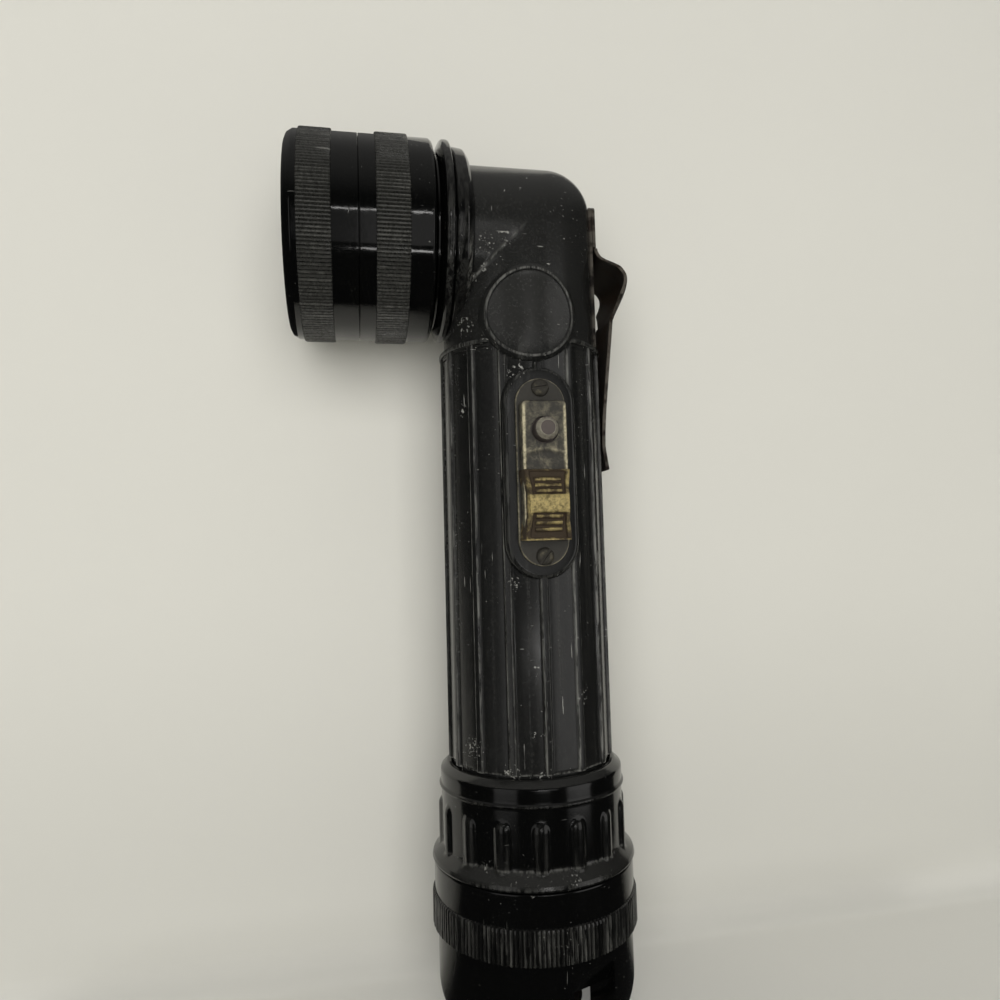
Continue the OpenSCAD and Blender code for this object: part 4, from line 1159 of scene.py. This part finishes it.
def bulb_cushion():
    """Foam pad over the spare filters, crowned, with a nest pressed into it for the spare bulb."""
    low, high, r = 20.12, 26.1, 17.25
    corners = [(0.02, low, 0), (r - 0.4, low, 0.9), (r, low + 2.6, 2.0), (r - 0.15, high - 1.6, 1.0)]
    corners += [(r - 0.35 - 16.9 * t, high - 0.75 + 0.73 * math.sin(t * math.pi / 2), 0)
                for t in np.linspace(0, 1, 9)]
    piece = turned("bulb_cushion_pad", on_tube, fillet(corners), 96, cushion_rubber, "store_base",
                   ["bulb_cushion"], angle=60)
    base_r, glass_r, glass_x = 4.85, 5.5, 5.3
    nest = [(0.01, -10.2), (base_r, -10.2), (base_r, -1.0), (7.6, -1.0), (7.6, 0.2), (base_r, 0.2)]
    nest += [(max(base_r, math.sqrt(max(glass_r ** 2 - (x - glass_x) ** 2, 0))), x)
             for x in np.linspace(2.4, 10.8, 14)]
    nest.append((0.01, 10.8))
    cut_away(piece, *lathe(on_side(28.4), nest, 48, closed=False), 50)
    return piece


tube_skin()
elbow_skin()
collar_bead()
head_flange()
medallion()
switch_pad()
tube_neck()
thread("tube_thread", on_tube, NECK_R, 43.2, 54.0, 4.0, "case", shell_black)
thread("head_thread", on_head, 20.5, 23.4, 31.6, 3.0, "case", shell_black)
thread("lens_thread", on_head, 20.8, 40.2, 47.4, 2.5, "lens_cap", ring_black)
thread("cap_thread", on_tube, 20.3, 25.6, 34.2, 3.0, "tail_cap", tail_black)
switch_plate()
switch_slide()
switch_stem()
switch_button()
screw("switch_screw_high", 143.1, 8, ["switch_screws"])
screw("switch_screw_low", 105.7, 52)
clip_leaf()
clip_fixed()
head_rings()
battery_cap()
store_cap()
tail_spring()
button_spring()
bulb_cushion()

# Camera, from a fit to the edges in the photograph
FOCAL_PX = 743.277
IMAGE_PX = 1000
CAMERA_PLACE = (-40.242, -179.274, 107.478)
CAMERA_TURN = -0.190197
CAMERA_PITCH = 0.066447
CAMERA_ROLL = -0.027583
camera_data = bpy.data.cameras.new("camera")
camera_data.sensor_width = 36.0
camera_data.lens = FOCAL_PX / IMAGE_PX * camera_data.sensor_width
camera_data.clip_start = 0.005
camera = add_object("camera", camera_data)
camera.matrix_world = (Matrix.Translation(Vector(CAMERA_PLACE) * MM) @ Matrix.Rotation(CAMERA_TURN, 4, "Z")
                       @ Matrix.Rotation(math.pi / 2 + CAMERA_PITCH, 4, "X")
                       @ Matrix.Rotation(CAMERA_ROLL, 4, "Z"))
bpy.context.scene.camera = camera

# Floor, backdrop and light, in metres
WALL_Y = 0.0247
COVE_R = 0.008
REACH = 1.2
FLOOR_FRONT = -0.6 * REACH
PAPER = (0.70, 0.695, 0.645)
# The floor and the cove are painted lighter towards the corner, and the camera alone sees them glow there:
# painted light that evens out the corner's shading. The backdrop is painted darker towards the floor, which
# is painted shade
PAINTED_FLOOR_GAIN = 0.176
FLOOR_GLOW = 0.129
FLOOR_FADE = 0.0013
LOW_SHADE = 0.85
LOW_SHADE_Z = 0.11
SHEET_EDGE = 0.115
SHEET_LEAN = 0.35
SHADOW_FRONT = -0.03
MIRROR_FRONT = 0.02
ROOM = 0.8
WARM_WHITE = (1.0, 0.985, 0.935, 1.0)
SEEN_LEVEL = 0.68
DIFFUSE_LEVEL = 0.1
DIM_LOW = 0.02
DIM_HIGH = 0.24


def paper_sheet():
    """One pale sheet: the floor, a small cove and the backdrop. It is clear from behind.

    Reflections see only the part of it round the lamp, as on a small table in a dim room.
    """
    g = Graph(bpy.data.materials.new("paper"))
    x, y, z = g.split(g.place)
    low = g.ramp(z, 0.0, LOW_SHADE_Z, LOW_SHADE, 1.0)
    # Close to the floor the colour is raised and a glow seen only by the camera is added: painted light in
    # the corner
    near = g.math("DIVIDE", FLOOR_FADE, g.math("ADD", g.most(z, 0.0), FLOOR_FADE))
    flat = g.times(near, PAINTED_FLOOR_GAIN, 1.0)
    shade = g.times(low, flat)
    shade = g.times(shade, g.ramp(g.noise(6.0, 3.0), 0.3, 0.7, 0.98, 1.0))
    g.set(color=g.mix(shade, (0.0, 0.0, 0.0), PAPER), rough=0.9, spec=0.1)
    path = g.node("LightPath").outputs
    glow = g.times(g.times(near, FLOOR_GLOW), path["Is Camera Ray"])
    g.put(g.shader.inputs["Emission Strength"], glow)
    g.shader.inputs["Emission Color"].default_value = WARM_WHITE
    wide = g.times(z, SHEET_LEAN, g.math("ABSOLUTE", x))
    wide = g.math("GREATER_THAN", wide, SHEET_EDGE)
    far = g.most(wide, g.math("LESS_THAN", y, SHADOW_FRONT))
    dark = g.most(wide, g.ramp(y, MIRROR_FRONT, 0.0))
    unseen = g.most(g.times(far, path["Is Shadow Ray"]),
                    g.times(dark, path["Is Glossy Ray"]))
    either = g.node("MixShader")
    g.put(either.inputs[0], g.most(unseen, g.node("NewGeometry").outputs["Backfacing"]))
    g.put(either.inputs[1], g.shader.outputs[0])
    g.put(either.inputs[2], g.node("BsdfTransparent").outputs[0])
    g.put(g.tree.nodes["Material Output"].inputs["Surface"], either.outputs[0])
    line = [(FLOOR_FRONT, 0.0), (WALL_Y - COVE_R - 0.002, 0.0)]
    line += [(WALL_Y - COVE_R + COVE_R * math.sin(a), COVE_R - COVE_R * math.cos(a))
             for a in np.radians(np.linspace(0, 90, 13))]
    line += [(WALL_Y, COVE_R + 0.002), (WALL_Y, REACH)]
    mesh = bpy.data.meshes.new("paper")
    mesh.from_pydata([(side, y, z) for y, z in line for side in (-REACH, REACH)], [],
                     [(2 * i, 2 * i + 1, 2 * i + 3, 2 * i + 2) for i in range(len(line) - 1)])
    mesh.shade_smooth()
    mesh.materials.append(g.owner)
    add_object("paper", mesh)


def area_light(name, place, target, width, height, power, mirrored=True):
    """A soft lamp: one that is only mirrored in glossy faces, or one that only lights matte ones."""
    data = bpy.data.lights.new(name, "AREA")
    data.shape = "RECTANGLE"
    data.size = width
    data.size_y = height
    data.energy = power
    data.color = (1.0, 0.985, 0.96)
    light = add_object(name, data)
    aim = Vector(target) - Vector(place)
    light.matrix_world = Matrix.Translation(place) @ aim.to_track_quat("-Z", "Y").to_matrix().to_4x4()
    light.visible_glossy = mirrored
    light.visible_diffuse = not mirrored
    light.visible_camera = False


def before_head(name, elevation, away, left, right, height, power):
    """A lamp that far before the head, raised by that elevation, from left to right in x."""
    angle = math.radians(elevation)
    aim = Vector(((left + right) / 2, 0, HEAD_Z * MM))
    place = aim + away * Vector((0, -math.cos(angle), math.sin(angle)))
    area_light(name, place, aim, right - left, height, power)


def beside_tube(name, azimuth, centre_z, width, height, power):
    """A lamp at that azimuth from the -Y direction towards +X, and at that height."""
    angle = math.radians(azimuth)
    aim = Vector((0, 0, centre_z))
    area_light(name, aim + ROOM * Vector((math.sin(angle), -math.cos(angle), 0)), aim, width, height, power)


paper_sheet()
area_light("fill", (-0.165, -1.1, 0.2), (0, 0, 0.12), 1.21, 1.1, 13.4, mirrored=False)
area_light("top", (0.0, -0.37, 1.0), (0, -0.37, 0), 0.8, 0.7, 1.05, mirrored=False)
before_head("panel", -8, 0.8, -0.034, 0.13, 0.47, 0.1)
before_head("panel_left", -8, 0.8, -0.11, -0.034, 0.47, 0.022)
before_head("strip_high", 10.7, 2.0, -0.109, 0.206, 0.05, 0.45)
before_head("strip_low", -30, 0.25, -0.0375, 0.03, 0.006, 0.0115)
beside_tube("card_front", 14, 0.19, 0.13, 0.46, 0.085)
beside_tube("card_left", -44, 0.115, 0.4, 0.67, 0.4)
beside_tube("card_right", 47, 0.115, 0.46, 0.67, 0.8)

# The camera and clear pieces see a pale room, the rest a dim one that is lighter overhead
room = Graph(bpy.data.worlds.new("world"))
bpy.context.scene.world = room.owner
rays = room.node("LightPath").outputs
overhead = room.split(room.node("TexCoord").outputs["Generated"])["Z"]
dim = room.level(rays["Is Diffuse Ray"], room.ramp(overhead, 0.35, 1.0, DIM_LOW, DIM_HIGH), DIFFUSE_LEVEL)
seen = room.most(rays["Is Camera Ray"], rays["Is Transmission Ray"])
background = room.tree.nodes["Background"]
room.put(background.inputs["Strength"], room.level(seen, dim, SEEN_LEVEL))
background.inputs["Color"].default_value = WARM_WHITE

bpy.context.scene.view_settings.view_transform = "Standard"
